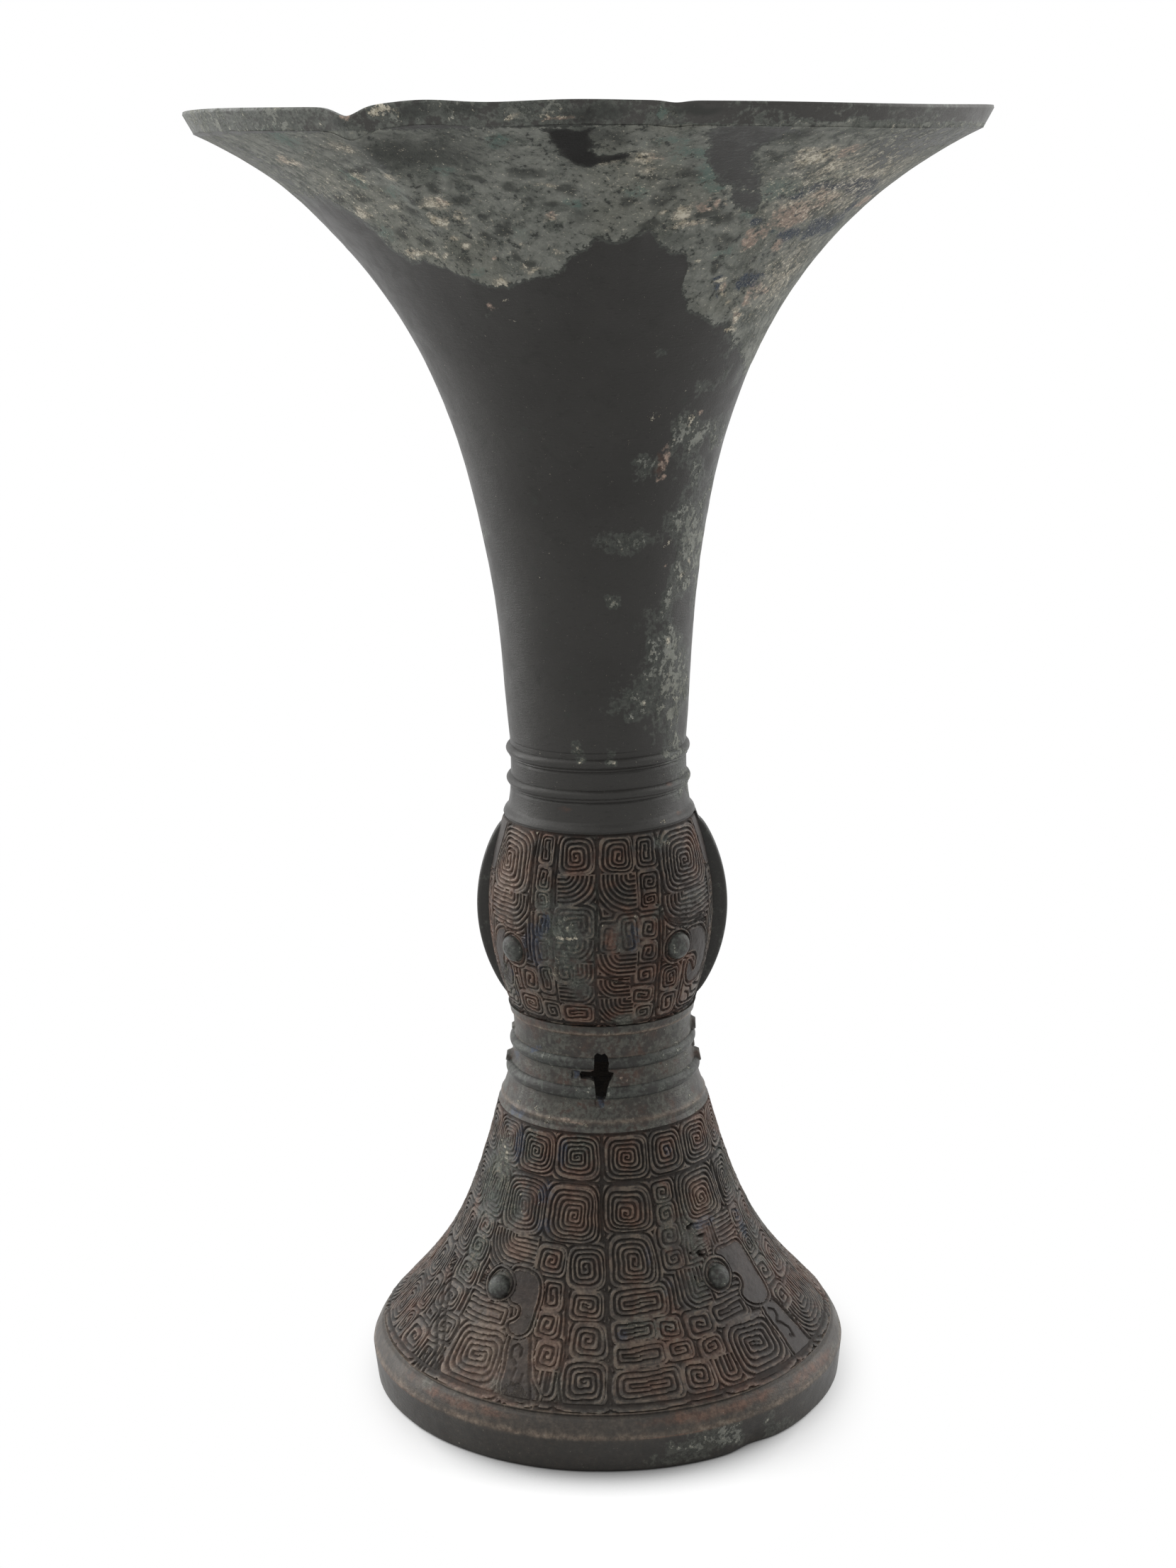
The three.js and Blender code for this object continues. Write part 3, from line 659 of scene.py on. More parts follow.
# How far apart the cast lines lie: a fixed part, and one that grows with the radius
BULB_PITCH = (0.0, 0.0415)
FOOT_PITCH = (0.52, 0.014)
# How square the spirals are, and how high the smooth shapes and the sockets round the eyes stand
SQUARE = 4.0
PLATE_LEVEL = 0.82
SOCKET_LEVEL = 0.6
# How many lines run round a smooth shape or a socket
ROUND_LINES = 1.4
# Further than anything on the vessel lies apart
FAR = 1e3


def cast_lines(way):
    """Rounded lines, 1 on the crest at each whole number and 0 in the grooves between."""
    return smooth(0.12, 0.68, 0.5 + 0.5 * np.cos(2.0 * math.pi * way))


class Field:
    """A panel's relief, from 0 in the grooves to 1 at the full height, drawn by angle and height."""

    def __init__(self, angle, height, curve, pitch, seed):
        radius = radius_at(curve, height)
        points = flat_points(angle, radius, height)
        sway = 0.55 * (noise(points, 5.0, seed) - 0.5) + 0.2 * (noise(points, 1.8, seed + 2) - 0.5)
        self.angle = angle + np.degrees(sway / radius)
        rise = 0.5 * (noise(points, 4.5, seed + 1) - 0.5) + 0.2 * (noise(points, 1.8, seed + 3) - 0.5)
        self.height = height + rise
        self.level = height
        self.curve = curve
        self.pitch = pitch
        self.radius = radius
        self.along = length_at(curve, self.height)
        self.relief = np.ones_like(angle)
        self.smooth_place = np.zeros_like(angle)
        self.gap = np.full_like(angle, FAR)

    def pitch_at(self, height):
        return self.pitch[0] + self.pitch[1] * radius_at(self.curve, height)

    def place_in(self, left, right, low, high):
        """The points in and round a cell, where they lie in it, and the cell's half sizes and pitch.

        Places go from -1 to 1 across and up the cell, and further outside it.
        """
        bottom, top = length_at(self.curve, np.array([low, high]))
        across = (2.0 * self.angle - left - right) / (right - left)
        up = (2.0 * self.along - bottom - top) / (top - bottom)
        radius = radius_at(self.curve, (low + high) / 2.0)
        pitch = self.pitch_at((low + high) / 2.0)
        half_width = math.radians(right - left) / 2.0 * radius
        half_height = (top - bottom) / 2.0
        near = (np.abs(across) * half_width < half_width + 3.0 * pitch)
        near &= (np.abs(up) * half_height < half_height + 3.0 * pitch)
        return near, across[near], up[near], half_width, half_height, pitch

    def put(self, near, deep, relief):
        """Lays relief inside a cell, where its depth is positive, and notes how far the rest is from it."""
        self.gap[near] = np.minimum(self.gap[near], -deep)
        self.relief[near] = np.where(deep > 0.0, relief, self.relief[near])

    def spiral(self, left, right, low, high, spin=1, middle=None):
        """A squared spiral that fills a cell, wound in from its edge to its middle."""
        near, across, up, half_width, half_height, pitch = self.place_in(left, right, low, high)
        if middle is not None:
            bottom, centre, top = length_at(self.curve, np.array([low, middle[1], high]))
            shift = (2.0 * middle[0] - left - right) / (right - left)
            across = (across - shift) / np.where(across > shift, 1.0 - shift, 1.0 + shift)
            shift = (2.0 * centre - bottom - top) / (top - bottom)
            up = (up - shift) / np.where(up > shift, 1.0 - shift, 1.0 + shift)
        reach = min(half_width, half_height)
        side = np.maximum(np.abs(across) * half_width - (half_width - reach), 0.0)
        rise = np.maximum(np.abs(up) * half_height - (half_height - reach), 0.0)
        out = (side ** SQUARE + rise ** SQUARE) ** (1.0 / SQUARE) / reach
        turns = max(2, round(reach / pitch))
        sweep = np.arctan2(up * half_height, across * half_width) * spin / (2.0 * math.pi)
        way = (1.0 - out) * turns + (sweep + 0.375) % 1.0
        wall = 1.0 - smooth(0.05, 0.4, (1.0 - out) * turns)
        self.put(near, (1.0 - out) * reach, np.maximum(cast_lines(way), wall))

    def nest(self, left, right, low, high, closed, corner=0.0, count=99):
        """Lines laid inside one another along the closed sides of a cell, and open at its others."""
        near, across, up, half_width, half_height, pitch = self.place_in(left, right, low, high)
        sides = {
            "L": (1.0 + across) * half_width, "R": (1.0 - across) * half_width,
            "B": (1.0 + up) * half_height, "T": (1.0 - up) * half_height,
        }
        far = np.full_like(across, FAR)
        side = np.minimum(*(sides[name] if name in closed else far for name in "LR"))
        rise = np.minimum(*(sides[name] if name in closed else far for name in "BT"))
        deep = np.minimum(side, rise)
        if corner:
            turn = corner - np.hypot(np.maximum(corner - side, 0.0), np.maximum(corner - rise, 0.0))
            deep = np.where((side < corner) & (rise < corner), turn, deep)
        way = deep / pitch
        edge = np.minimum(deep, np.minimum.reduce(list(sides.values())))
        self.put(near, edge, np.where(way > count, 1.0, cast_lines(way)))

    def fill_gaps(self):
        """Lines that follow the cells' edges wherever there is room between them."""
        way = np.maximum(self.gap / self.pitch_at(self.height) - 0.05, 0.0)
        self.relief = np.where(self.gap > 0.0, cast_lines(way), self.relief)

    def unrolled(self, line):
        """A line's points by angle and by length up the wall."""
        marks = np.array(line, float)
        marks[:, 1] = length_at(self.curve, marks[:, 1])
        return marks

    def away_from(self, line):
        """How far each point lies from a drawn line, in millimetres."""
        return nearest(self.angle, self.along, self.unrolled(line), self.radius)

    def sink(self, away, half_width):
        self.relief = np.minimum(self.relief, smooth(half_width * 0.5, half_width * 1.6, away))

    def groove(self, line, half_width):
        self.sink(self.away_from(line), half_width)

    def border(self, height, half_width=0.24):
        """A straight groove all the way across."""
        self.sink(np.abs(self.level - height), half_width)

    def line_round(self, way):
        return np.where(way < ROUND_LINES, cast_lines(way), self.relief)

    def plate(self, line):
        """A smooth raised shape, with a groove and a line round it."""
        closed = smoothed(line)
        way = self.away_from(closed) / self.pitch_at(closed[0][1])
        inside = encloses(self.unrolled(closed), self.angle, self.along)
        self.relief = np.where(inside, PLATE_LEVEL, self.line_round(way))
        self.smooth_place = np.where(inside, 1.0, self.smooth_place)

    def socket(self, angle, height, size):
        """A groove and a line round an eye."""
        away = self.away_from([(angle, height), (angle + 0.01, height)]) - size
        self.relief = np.where(away < 0.0, SOCKET_LEVEL, self.line_round(away / self.pitch_at(height)))


def mirrored(line):
    """The same line on the other side of a panel's middle."""
    return [(-angle, height) for angle, height in line]


# The masks' layout. Angles are degrees from the middle of a panel, heights are millimetres.
# A spiral is (left, right, low, high, spin) and may end with where its middle lies

BULB_SPIRALS = [
    (0.3, 18.2, 116.7, 123.8, 1, (10.4, 119.9)), (19.6, 32.8, 116.9, 123.6, 1),
    (21.3, 30.4, 112.7, 116.0, 1), (21.3, 30.4, 109.4, 112.3, -1),
    (35.0, 71.0, 110.9, 123.7, 1, (51.9, 116.8)), (33.4, 45.4, 90.4, 95.8, -1),
    (34.6, 46.2, 84.8, 89.9, -1), (-0.3, 8.4, 100.7, 106.5, 1), (9.0, 18.6, 100.3, 108.0, -1),
    (19.6, 28.6, 102.9, 107.0, 1), (19.6, 28.6, 98.0, 102.2, 1), (17.8, 29.0, 92.9, 97.0, -1),
    (15.4, 29.4, 88.5, 92.3, 1), (18.4, 30.0, 84.7, 88.0, -1),
    (-71.0, -41.4, 111.0, 123.3, -1, (-58.8, 116.9)), (-35.0, -27.2, 118.0, 123.6, -1),
    (-35.0, -27.2, 112.9, 117.5, 1), (-35.0, -27.6, 109.2, 112.5, -1),
    (-22.8, -3.2, 116.6, 123.7, -1, (-14.2, 119.8)), (-24.0, -4.2, 103.6, 109.9, -1),
    (-24.6, -14.6, 93.4, 98.0, -1), (-34.6, -26.4, 103.0, 108.6, 1), (-34.6, -26.4, 97.4, 102.6, -1),
    (-34.6, -26.0, 90.8, 97.0, -1), (-47.6, -36.0, 90.4, 96.0, 1), (-53.6, -36.2, 84.7, 89.9, 1),
    (-35.2, -24.6, 84.6, 88.5, -1), (-23.6, -5.6, 84.6, 88.5, -1),
]
# Those beside the right flange, which are the same beside the left one but mirrored
BULB_EDGE_SPIRALS = [
    (74.0, 83.6, 107.2, 112.6, 1), (74.0, 83.8, 100.6, 106.6, -1), (74.4, 83.8, 94.4, 100.0, 1),
    (74.0, 83.6, 85.0, 93.6, -1),
]
for left, right, low, high, spin in BULB_EDGE_SPIRALS:
    BULB_SPIRALS += [(left, right, low, high, spin), (-right, -left, low, high, -spin)]

# A nest is (left, right, low, high, closed sides, corner radius) and may end with its number of lines
BULB_NESTS = [
    (0.3, 18.2, 109.7, 116.4, "LB", 6.0), (20.0, 31.6, 109.0, 116.4, "LRBT", 0.8, 1),
    (35.0, 72.0, 105.6, 110.9, "LB", 4.0), (-1.8, 17.6, 95.5, 100.0, "LB", 4.5),
    (-2.0, 14.6, 90.4, 94.5, "LB", 3.5), (-1.6, 17.0, 84.8, 90.0, "LB", 4.5),
    (46.8, 72.5, 84.6, 96.0, "LB", 3.0, 2), (-71.0, -41.4, 105.8, 111.0, "RB", 4.0),
    (-22.8, -3.2, 110.4, 116.3, "RB", 6.0), (-24.0, -4.4, 98.5, 103.1, "RB", 4.0),
    (-14.2, -4.4, 93.0, 98.0, "RB", 3.0), (-23.6, -4.4, 89.0, 92.8, "RB", 3.0),
    (-72.5, -54.2, 84.6, 92.0, "RB", 3.0, 2),
]
BULB_GROOVES = [
    [(-1.6, 124), (-1.8, 112), (-3.4, 104), (-3.6, 94), (-3.2, 84)],
    [(33.2, 124), (33.4, 110), (34.4, 107.2), (37.5, 105.4), (44, 104.5), (55, 103.7), (64.5, 103.2)],
    [(64.5, 103.2), (66.0, 104.3), (65.0, 105.2)], [(38, 106.0), (45, 105.4), (62, 104.5)],
    [(31.2, 109), (30.4, 105), (30.4, 91), (31.2, 87.6), (34.6, 84.6)],
    [(32.6, 108), (32.4, 104), (32.3, 91.5), (33.2, 88.6), (34.6, 86.5)],
    [(-2, 95.3), (4, 94.5), (11, 93.6), (18, 92.9), (29, 92.7)],
    [(-38.6, 124), (-38.6, 110.5), (-37, 108.5)], [(-36.4, 124), (-36.2, 110)],
    [(-25.6, 124), (-25.8, 111), (-24.5, 108)], [(-24.0, 122), (-24.0, 112)],
    [(54.0, 89.8), (60, 89.0), (62, 87.5), (71, 87.1)],
    [(54.6, 88.4), (58.6, 87.8), (60.5, 86.2), (71, 85.8)], [(63.5, 89.2), (71, 88.6)],
    [(-59, 89.4), (-64, 88.7), (-66, 87.3), (-72, 87.0)],
    [(-59, 88.0), (-62.6, 87.4), (-64.6, 86.0), (-72, 85.7)],
]
BULB_EDGE_GROOVES = [
    [(71.6, 124), (72.6, 118), (73.4, 113.5), (85.0, 112.9)], [(72.6, 113), (72.8, 85)],
    [(84.8, 112), (84.8, 85)],
]
for groove in BULB_EDGE_GROOVES:
    BULB_GROOVES += [groove, mirrored(groove)]

BULB_PLATE = [
    (49.4, 102.2), (56, 102.4), (62, 101.6), (67.4, 99.4), (70.4, 96.6), (70.0, 93.2), (66.4, 91.2),
    (60.4, 90.5), (55, 91.1), (52.2, 93.0), (52.2, 95.2), (54.6, 94.4), (57, 92.9), (59.6, 93.1),
    (60.4, 95.0), (58.4, 96.9), (54, 97.7), (50, 97.8), (48.6, 99.5),
]
# Smooth wedges beside the flanges
BULB_WEDGE = [
    (72.6, 123.6), (80, 123.8), (87.5, 123.4), (87.8, 116), (86.6, 113.6), (80, 113.7), (74.6, 114.4),
    (73.2, 118),
]
BULB_SMOOTH = [BULB_WEDGE, mirrored(BULB_WEDGE)]
BULB_EYE_SPOTS = [(42.0, 99.9), (-51.0, 99.0)]

FOOT_SPIRALS = [
    (0.2, 21.4, 52.3, 60.7, 1), (23.4, 41.0, 52.6, 60.4, -1), (43.0, 66.0, 52.3, 60.6, 1),
    (67.8, 87.4, 52.4, 60.5, -1), (-25.2, -3.4, 52.3, 60.6, -1), (-46.6, -27.2, 52.7, 60.5, 1),
    (-68.0, -48.8, 52.5, 60.5, -1), (-87.4, -69.8, 52.4, 60.5, 1), (0.2, 19.6, 42.2, 50.6, 1, (8.6, 45.6)),
    (22.4, 30.6, 46.7, 50.2, 1), (22.4, 30.6, 42.5, 46.1, -1), (22.4, 30.6, 38.2, 42.0, 1),
    (22.4, 30.4, 34.2, 37.7, -1), (36.4, 58.8, 40.9, 50.8, -1, (47.2, 45.0)), (60.4, 78.0, 41.0, 50.8, 1),
    (79.4, 87.6, 41.0, 50.8, -1), (-26.4, -4.0, 40.3, 50.5, 1, (-13.6, 44.9)),
    (-49.4, -28.2, 40.2, 50.4, -1), (-66.4, -51.2, 41.2, 50.6, 1), (-87.4, -68.2, 41.0, 50.6, -1),
    (1.4, 20.6, 26.4, 31.6, -1), (1.4, 15.2, 22.6, 26.0, -1), (1.4, 16.8, 18.9, 22.2, -1),
    (1.4, 19.6, 13.3, 18.3, -1), (34.6, 49.6, 22.5, 26.3, -1), (1.2, 18.6, 31.9, 41.2, 1, (10.4, 36.2)),
    (-15.2, -1.0, 31.8, 39.2, -1), (-27.4, -16.4, 33.4, 39.0, 1), (-63.0, -54.0, 36.8, 40.4, 1),
    (-63.0, -54.0, 32.2, 36.2, -1), (-63.0, -54.0, 27.9, 31.5, 1), (62.8, 71.6, 36.2, 40.2, 1),
    (62.8, 71.6, 29.8, 34.6, -1), (62.8, 71.6, 24.6, 28.8, 1), (63.2, 71.6, 19.4, 23.4, -1),
    (73.4, 87.0, 31.6, 39.8, 1), (73.4, 87.0, 23.0, 30.4, -1), (-87.0, -76.0, 31.6, 39.8, -1),
    (-87.0, -76.0, 23.0, 30.4, 1), (-74.6, -65.0, 32.2, 39.6, 1), (-12.8, -1.4, 26.4, 31.4, 1),
    (-11.0, -0.8, 20.2, 25.8, 1), (-12.6, -0.4, 13.2, 19.8, -1), (-22.8, -16.2, 27.6, 32.5, -1),
    (-22.8, -16.2, 23.0, 27.2, 1), (-21.2, -14.2, 18.2, 22.4, 1),
    (-48.6, -29.6, 13.2, 22.4, -1, (-38.0, 18.0)), (-64.6, -56.0, 22.2, 26.2, 1),
    (-59.4, -51.0, 17.8, 21.4, -1), (-68.6, -60.4, 13.4, 17.6, 1), (15.8, 23.2, 22.6, 25.8, 1),
    (17.4, 24.8, 19.0, 22.1, -1), (20.2, 28.4, 13.6, 18.2, 1), (25.2, 34.2, 22.0, 26.0, 1),
    (27.2, 34.4, 18.2, 21.4, -1), (36.0, 54.6, 13.2, 22.2, 1, (44.9, 18.0)), (-87.2, -76.0, 13.4, 21.6, -1),
    (-74.8, -69.4, 19.0, 25.0, 1), (-74.8, -70.0, 13.4, 18.0, -1),
]
FOOT_NESTS = [
    (-50.6, -28.4, 33.6, 39.7, "LB", 6.0), (49.6, 61.6, 35.2, 40.2, "BT", 0.0),
    (27.2, 37.4, 26.7, 33.4, "LB", 3.0), (-50.4, -33.2, 22.8, 26.6, "BTR", 1.2),
    (29.6, 38.0, 13.2, 17.8, "LBR", 3.0), (-18.8, -13.6, 13.4, 17.8, "LRB", 2.4),
    (64.6, 87.0, 13.2, 22.0, "LRB", 7.0), (-50.6, -49.6, 13.4, 17, "LB"),
]
FOOT_GROOVES = [
    [(-26.0, 18.4), (-28.2, 19.2), (-28.4, 20.6), (-27.0, 21.2), (-25.6, 20.6), (-25.6, 19.6)],
    [(-25.6, 17.6), (-25.6, 15.6), (-24.6, 14.9), (-23.4, 15.6), (-23.4, 17.0)], [(-1.8, 61), (-1.8, 41)],
    [(-0.2, 40.5), (0.1, 13)], [(61.8, 51), (62.4, 40.6)],
    [(-14.8, 31.8), (-13.8, 26), (-12.2, 20.5), (-13.4, 17), (-11.6, 13)],
    [(-23.8, 33), (-24.0, 23), (-22.2, 18), (-19.6, 13)],
    [(-69.0, 26.4), (-62, 22), (-55, 17.2), (-48.8, 13)],
    [(-66.2, 27.2), (-58.6, 22), (-52.4, 17.6), (-48.6, 15)],
    [(61.8, 22.6), (63.6, 19.0), (64.2, 14.0), (65.4, 13)],
    [
        (56.9, 21.2), (58.7, 20.6), (58.4, 19.5), (56.6, 18.9), (58.4, 18.2), (59.8, 17.0), (59.4, 15.8),
        (58, 16),
    ],
]
FOOT_PLATES = [
    [
        (46.4, 34.3), (53, 34.5), (59.6, 34.1), (61.4, 32), (61.8, 28), (61.6, 24.9), (59.4, 23.2),
        (55.4, 23.0), (51.8, 24.2), (50.4, 25.8), (52.4, 26.9), (53.2, 28.6), (51, 29.8), (48.6, 30.2),
        (49.1, 32.4),
    ],
    [
        (-35.0, 33.3), (-30, 33.4), (-26.4, 32.6), (-24.8, 30.2), (-24.8, 26), (-25.4, 23.9), (-27.6, 22.9),
        (-30.4, 23.0), (-31.8, 23.9), (-30.4, 24.5), (-29.0, 25.3), (-29.0, 26.8), (-30.8, 27.6),
        (-33.4, 27.8), (-35.8, 29.6), (-36.2, 32),
    ],
]
FOOT_SMOOTH = [
    [
        (-29.4, 22.0), (-24.6, 22.2), (-23.4, 19.4), (-21.4, 16.2), (-18.6, 13.4), (-27.0, 13.3),
        (-28.4, 17.4),
    ],
    [(55.6, 21.8), (60.5, 22.0), (62.0, 19.5), (63.2, 16), (63.6, 13.5), (56.2, 13.4), (55.8, 17)],
]
FOOT_EYE_SPOTS = [(43.0, 30.8), (-40.5, 30.0)]

# Worn or crusted places, as (angle, height, half width, half height, strength)
BULB_WEAR = [
    (-20, 102, 15, 8, 1.0), (-30, 110, 7, 4, 0.6), (8, 104, 10, 4.5, 0.75), (-12, 93, 9, 4, 0.7),
    (14, 84.8, 9, 1.6, 0.9), (37, 121.6, 6, 1.4, 0.9), (-66, 90, 9, 4, 0.6), (55, 109, 16, 3, 0.4),
]
FOOT_WEAR = [
    (-60, 50, 14, 12, 0.85), (36, 39, 5, 5, 0.9), (27, 41, 4, 8, 0.5), (-41, 45, 8, 5, 0.6),
    (-27, 15.5, 8, 3, 0.6), (31, 31, 5, 4, 0.6), (44, 38, 8, 3, 0.9), (-59, 33, 5, 6, 0.4),
    (75, 34, 10, 12, 0.35),
]
# Casting holes beside the right eye of the foot, as (angle, height, half width, half height)
FOOT_PITS = [
    (36.2, 40.6, 0.9, 0.4), (38.0, 40.9, 1.0, 0.25), (41.6, 38.4, 1.7, 0.3), (38.2, 35.4, 1.0, 0.5),
    (39.6, 34.8, 1.2, 0.3), (34.2, 35.9, 0.5, 0.25), (33.2, 31.4, 0.3, 0.25),
]

# Colours of the front masks, as spots again
BULB_RED = [
    (-14, 86.5, 14, 3.4, 1.0), (8, 86.4, 9, 3.2, 1.0), (8, 92.5, 7, 2, 0.8), (-45, 87.6, 9, 3.6, 0.9),
    (-40, 94, 8, 4, 0.8), (-58, 113, 17, 13, 0.85), (-14, 118, 10, 6, 0.8), (9, 120, 8, 5, 0.62),
    (5, 103, 7, 5, 0.7), (23, 100, 5, 5, 0.7), (41, 92, 6, 3.5, 0.8), (41, 87, 6, 3, 0.8),
    (-49, 96.4, 8, 1.4, 1.0), (-62, 104.5, 8, 1.8, 0.9), (-5, 96, 2, 3, 0.9), (52, 96, 6, 2, 0.7),
    (-33, 119, 8, 6, 0.6), (20, 90, 10, 3, 0.6), (6, 114.6, 6, 1.6, 0.7), (13, 109.6, 5, 1.2, 0.7),
    (60, 87, 10, 3, 0.5),
]
BULB_GREEN = [
    (-20, 102, 14, 8.5, 0.9), (-30, 111, 8, 4, 0.72), (-3, 107, 3, 6, 0.6), (12, 104, 7, 4.5, 0.62),
    (13, 84.6, 9, 1.6, 0.95), (24, 86, 6, 1.4, 0.7), (37, 121.7, 6, 1.2, 0.95), (-66, 91, 8, 5, 0.85),
    (-13, 93, 9, 3.6, 0.7), (-58, 90, 6, 3, 0.7), (-30, 96, 5, 3, 0.7), (55, 109, 16, 3, 0.5),
    (30, 108, 4, 3, 0.5), (-2.6, 113, 1.6, 2.5, 0.7), (-4.6, 99, 1.2, 3.4, 0.8),
]
BULB_BLUE = [
    (-38, 101, 6, 4.4, 1.0), (-29, 106.2, 3, 2.2, 0.85), (-34, 97, 3, 2.4, 0.8), (16, 103.2, 4, 4, 0.62),
    (-33, 104, 3, 2, 0.8), (-56, 93.4, 2, 1.6, 0.7), (-57, 88.4, 3, 1.0, 0.6),
]
BULB_CREAM = [
    (-16.5, 103.4, 6.4, 0.4, 1.0), (-24, 95.2, 3, 2.0, 0.72), (-34.4, 106.6, 0.8, 0.7, 0.9),
    (-40, 123.6, 1.3, 0.3, 1.3), (0.6, 106.4, 0.7, 0.6, 0.9), (-37, 108, 2.5, 0.7, 0.7),
    (9.4, 97.8, 1.0, 0.5, 0.8), (-17, 105.6, 1.0, 0.7, 0.45), (7, 94.0, 4, 0.3, 0.8),
    (-6.6, 95.4, 1.6, 0.6, 0.9), (17, 108, 1.0, 1.2, 0.7), (41, 121, 4, 0.6, 0.8),
]
FOOT_RED = [
    (10, 56, 13, 5, 0.66), (33, 57, 9, 4.4, 0.8), (47, 45.6, 9, 4.5, 0.95), (-13, 44, 9, 5, 0.8),
    (10, 46, 10, 5, 0.76), (-37, 37, 9, 3, 0.95), (-60, 38.6, 5, 2, 0.95), (-21, 36, 5, 3, 0.85),
    (-26, 21, 8, 5, 0.66), (-17, 20, 6, 5, 0.7), (-61, 16, 9, 3.4, 0.7), (55, 57, 9, 4, 0.7),
    (27, 50, 4, 2, 0.8), (-22, 25, 5, 3, 0.7), (10, 35, 10, 6, 0.62), (-6, 24, 6, 10, 0.6),
    (12, 16, 14, 3, 0.62), (25, 37.6, 3, 1.2, 0.9), (-44, 48.6, 7, 2.4, 0.8), (54, 37, 7, 2.4, 0.66),
    (54, 30, 6, 4, 0.55), (21, 24, 4, 2, 0.8), (66, 32, 5, 5, 0.6), (-72, 40, 6, 6, 0.7),
]
FOOT_GREEN = [
    (-60, 48, 15, 9, 0.95), (-58, 34, 7, 5, 0.8), (-14, 58, 9, 4, 0.75), (-42, 57, 9, 4, 0.6),
    (36, 38, 6, 7, 0.85), (26, 44, 4, 7, 0.72), (-40, 30, 6, 3, 0.5), (33, 30, 6, 4, 0.66),
    (-26, 25, 3, 2.4, 0.66), (-24, 14.4, 8, 1.4, 0.8), (-45, 43.6, 7, 4, 0.66), (70, 33, 9, 9, 0.62),
    (12, 25, 11, 2.2, 0.62), (-60, 29, 6, 2.5, 0.6), (-14, 16, 2.4, 3, 0.6), (78, 46, 12, 8, 0.6),
    (45, 31, 5, 3, 0.6), (20, 31, 5, 2, 0.5),
]
FOOT_BLUE = [
    (-49, 56.6, 3.6, 3.6, 1.1), (-22, 57, 3, 3, 0.8), (-29, 48.6, 5, 2.6, 0.85), (-27, 42.4, 5, 2.4, 0.66),
    (45, 40.6, 7, 1.2, 0.85), (16.4, 37, 1.6, 2.4, 0.7), (33, 56.6, 3, 2, 0.62), (22, 31, 3, 2, 0.5),
    (69, 36, 4, 5, 0.62), (4, 24, 3, 1.6, 0.6),
]
FOOT_CREAM = [
    (-42, 47.2, 0.7, 0.36, 1.3), (-39.5, 44.1, 0.7, 0.36, 1.3), (-32.2, 48.6, 0.7, 0.3, 1.1),
    (0.7, 53.8, 0.4, 0.2, 1.3), (35.4, 41.0, 1.0, 1.4, 0.7), (-38, 59.6, 4, 1.4, 0.66),
    (25, 35, 1.4, 1.6, 0.6), (0, 61.4, 10, 0.4, 0.5), (-58, 57, 8, 4, 0.5), (66, 22.6, 1.4, 0.4, 0.8),
    (-31, 46.6, 0.8, 0.3, 1.0),
]

# Where a tan film lightens the relief, its hollows too
BULB_TAN = [(-58, 112, 18, 13, 0.6), (-40, 88, 20, 8, 0.4), (10, 96, 30, 20, 0.1), (24, 86, 16, 4, 0.3)]
FOOT_TAN = [
    (-34, 20, 26, 10, 0.62), (-13, 44, 12, 7, 0.5), (-36, 37, 12, 4, 0.6), (10, 40, 30, 16, 0.3),
    (8, 18, 20, 8, 0.34), (-8, 24, 14, 12, 0.42), (47, 45, 10, 5, 0.45), (10, 56, 30, 6, 0.2),
]
# Where it's darker than elsewhere
BULB_DARK = [
    (48, 112, 24, 14, 0.62), (62, 98, 14, 12, 0.5), (14, 102, 5, 4, 0.8), (-36, 101, 7, 5, 0.7),
    (24, 114, 8, 9, 0.4),
]
FOOT_DARK = [
    (50, 22, 24, 11, 1.0), (66, 40, 14, 14, 0.5), (-70, 24, 10, 8, 0.4), (-2, 36, 4, 20, 0.3),
    (30, 34, 8, 8, 0.5), (25, 44, 4, 7, 0.5), (-22, 30, 6, 4, 0.4), (52, 33, 8, 10, 0.9),
    (-31, 25, 6, 9, 0.8), (-47, 56, 5, 4, 0.5),
]


# Materials

# Colours of the bare metal: its two tones, then its marks from the largest to the smallest
METAL = (0.030, 0.0288, 0.0266), (0.037, 0.0356, 0.0330)
METAL_MOTTLE = (0.024, 0.0240, 0.0215)
METAL_STREAKS = (0.020, 0.0190, 0.0175)
METAL_GRAIN = (0.056, 0.0545, 0.0505)
METAL_GLINTS = (0.090, 0.0880, 0.0820)
# Films and crusts, each from its darkest tone to its palest
RUDDY = (0.060, 0.034, 0.026), (0.124, 0.065, 0.046)
STAIN = (0.037, 0.041, 0.036), (0.078, 0.082, 0.072)
CRUST = (0.098, 0.102, 0.091), (0.224, 0.229, 0.203)
RELIEF_CRUST = (0.044, 0.050, 0.044), (0.096, 0.104, 0.090)
CREAM_CRUST = (0.19, 0.168, 0.128), (0.34, 0.31, 0.25)
PINK_FILM = (0.145, 0.112, 0.090), (0.43, 0.315, 0.250)
BLUE_FILM = (0.015, 0.020, 0.034), (0.036, 0.052, 0.080)
# The tan film's colours also serve as a painted highlight on the waist and the rim
TAN_FILM_AND_HIGHLIGHT = (0.080, 0.060, 0.046), (0.200, 0.158, 0.122)
FLECKS = (0.30, 0.265, 0.195), (0.60, 0.56, 0.46)
# Marks on the crust
CRUST_PATCHES = (0.068, 0.074, 0.065)
CRUST_TAN = (0.150, 0.148, 0.118)
CRUST_MOTTLE = (0.052, 0.058, 0.051)
CRUST_TEAL = (0.086, 0.136, 0.118)
CRUST_VEINS = (0.22, 0.228, 0.194)
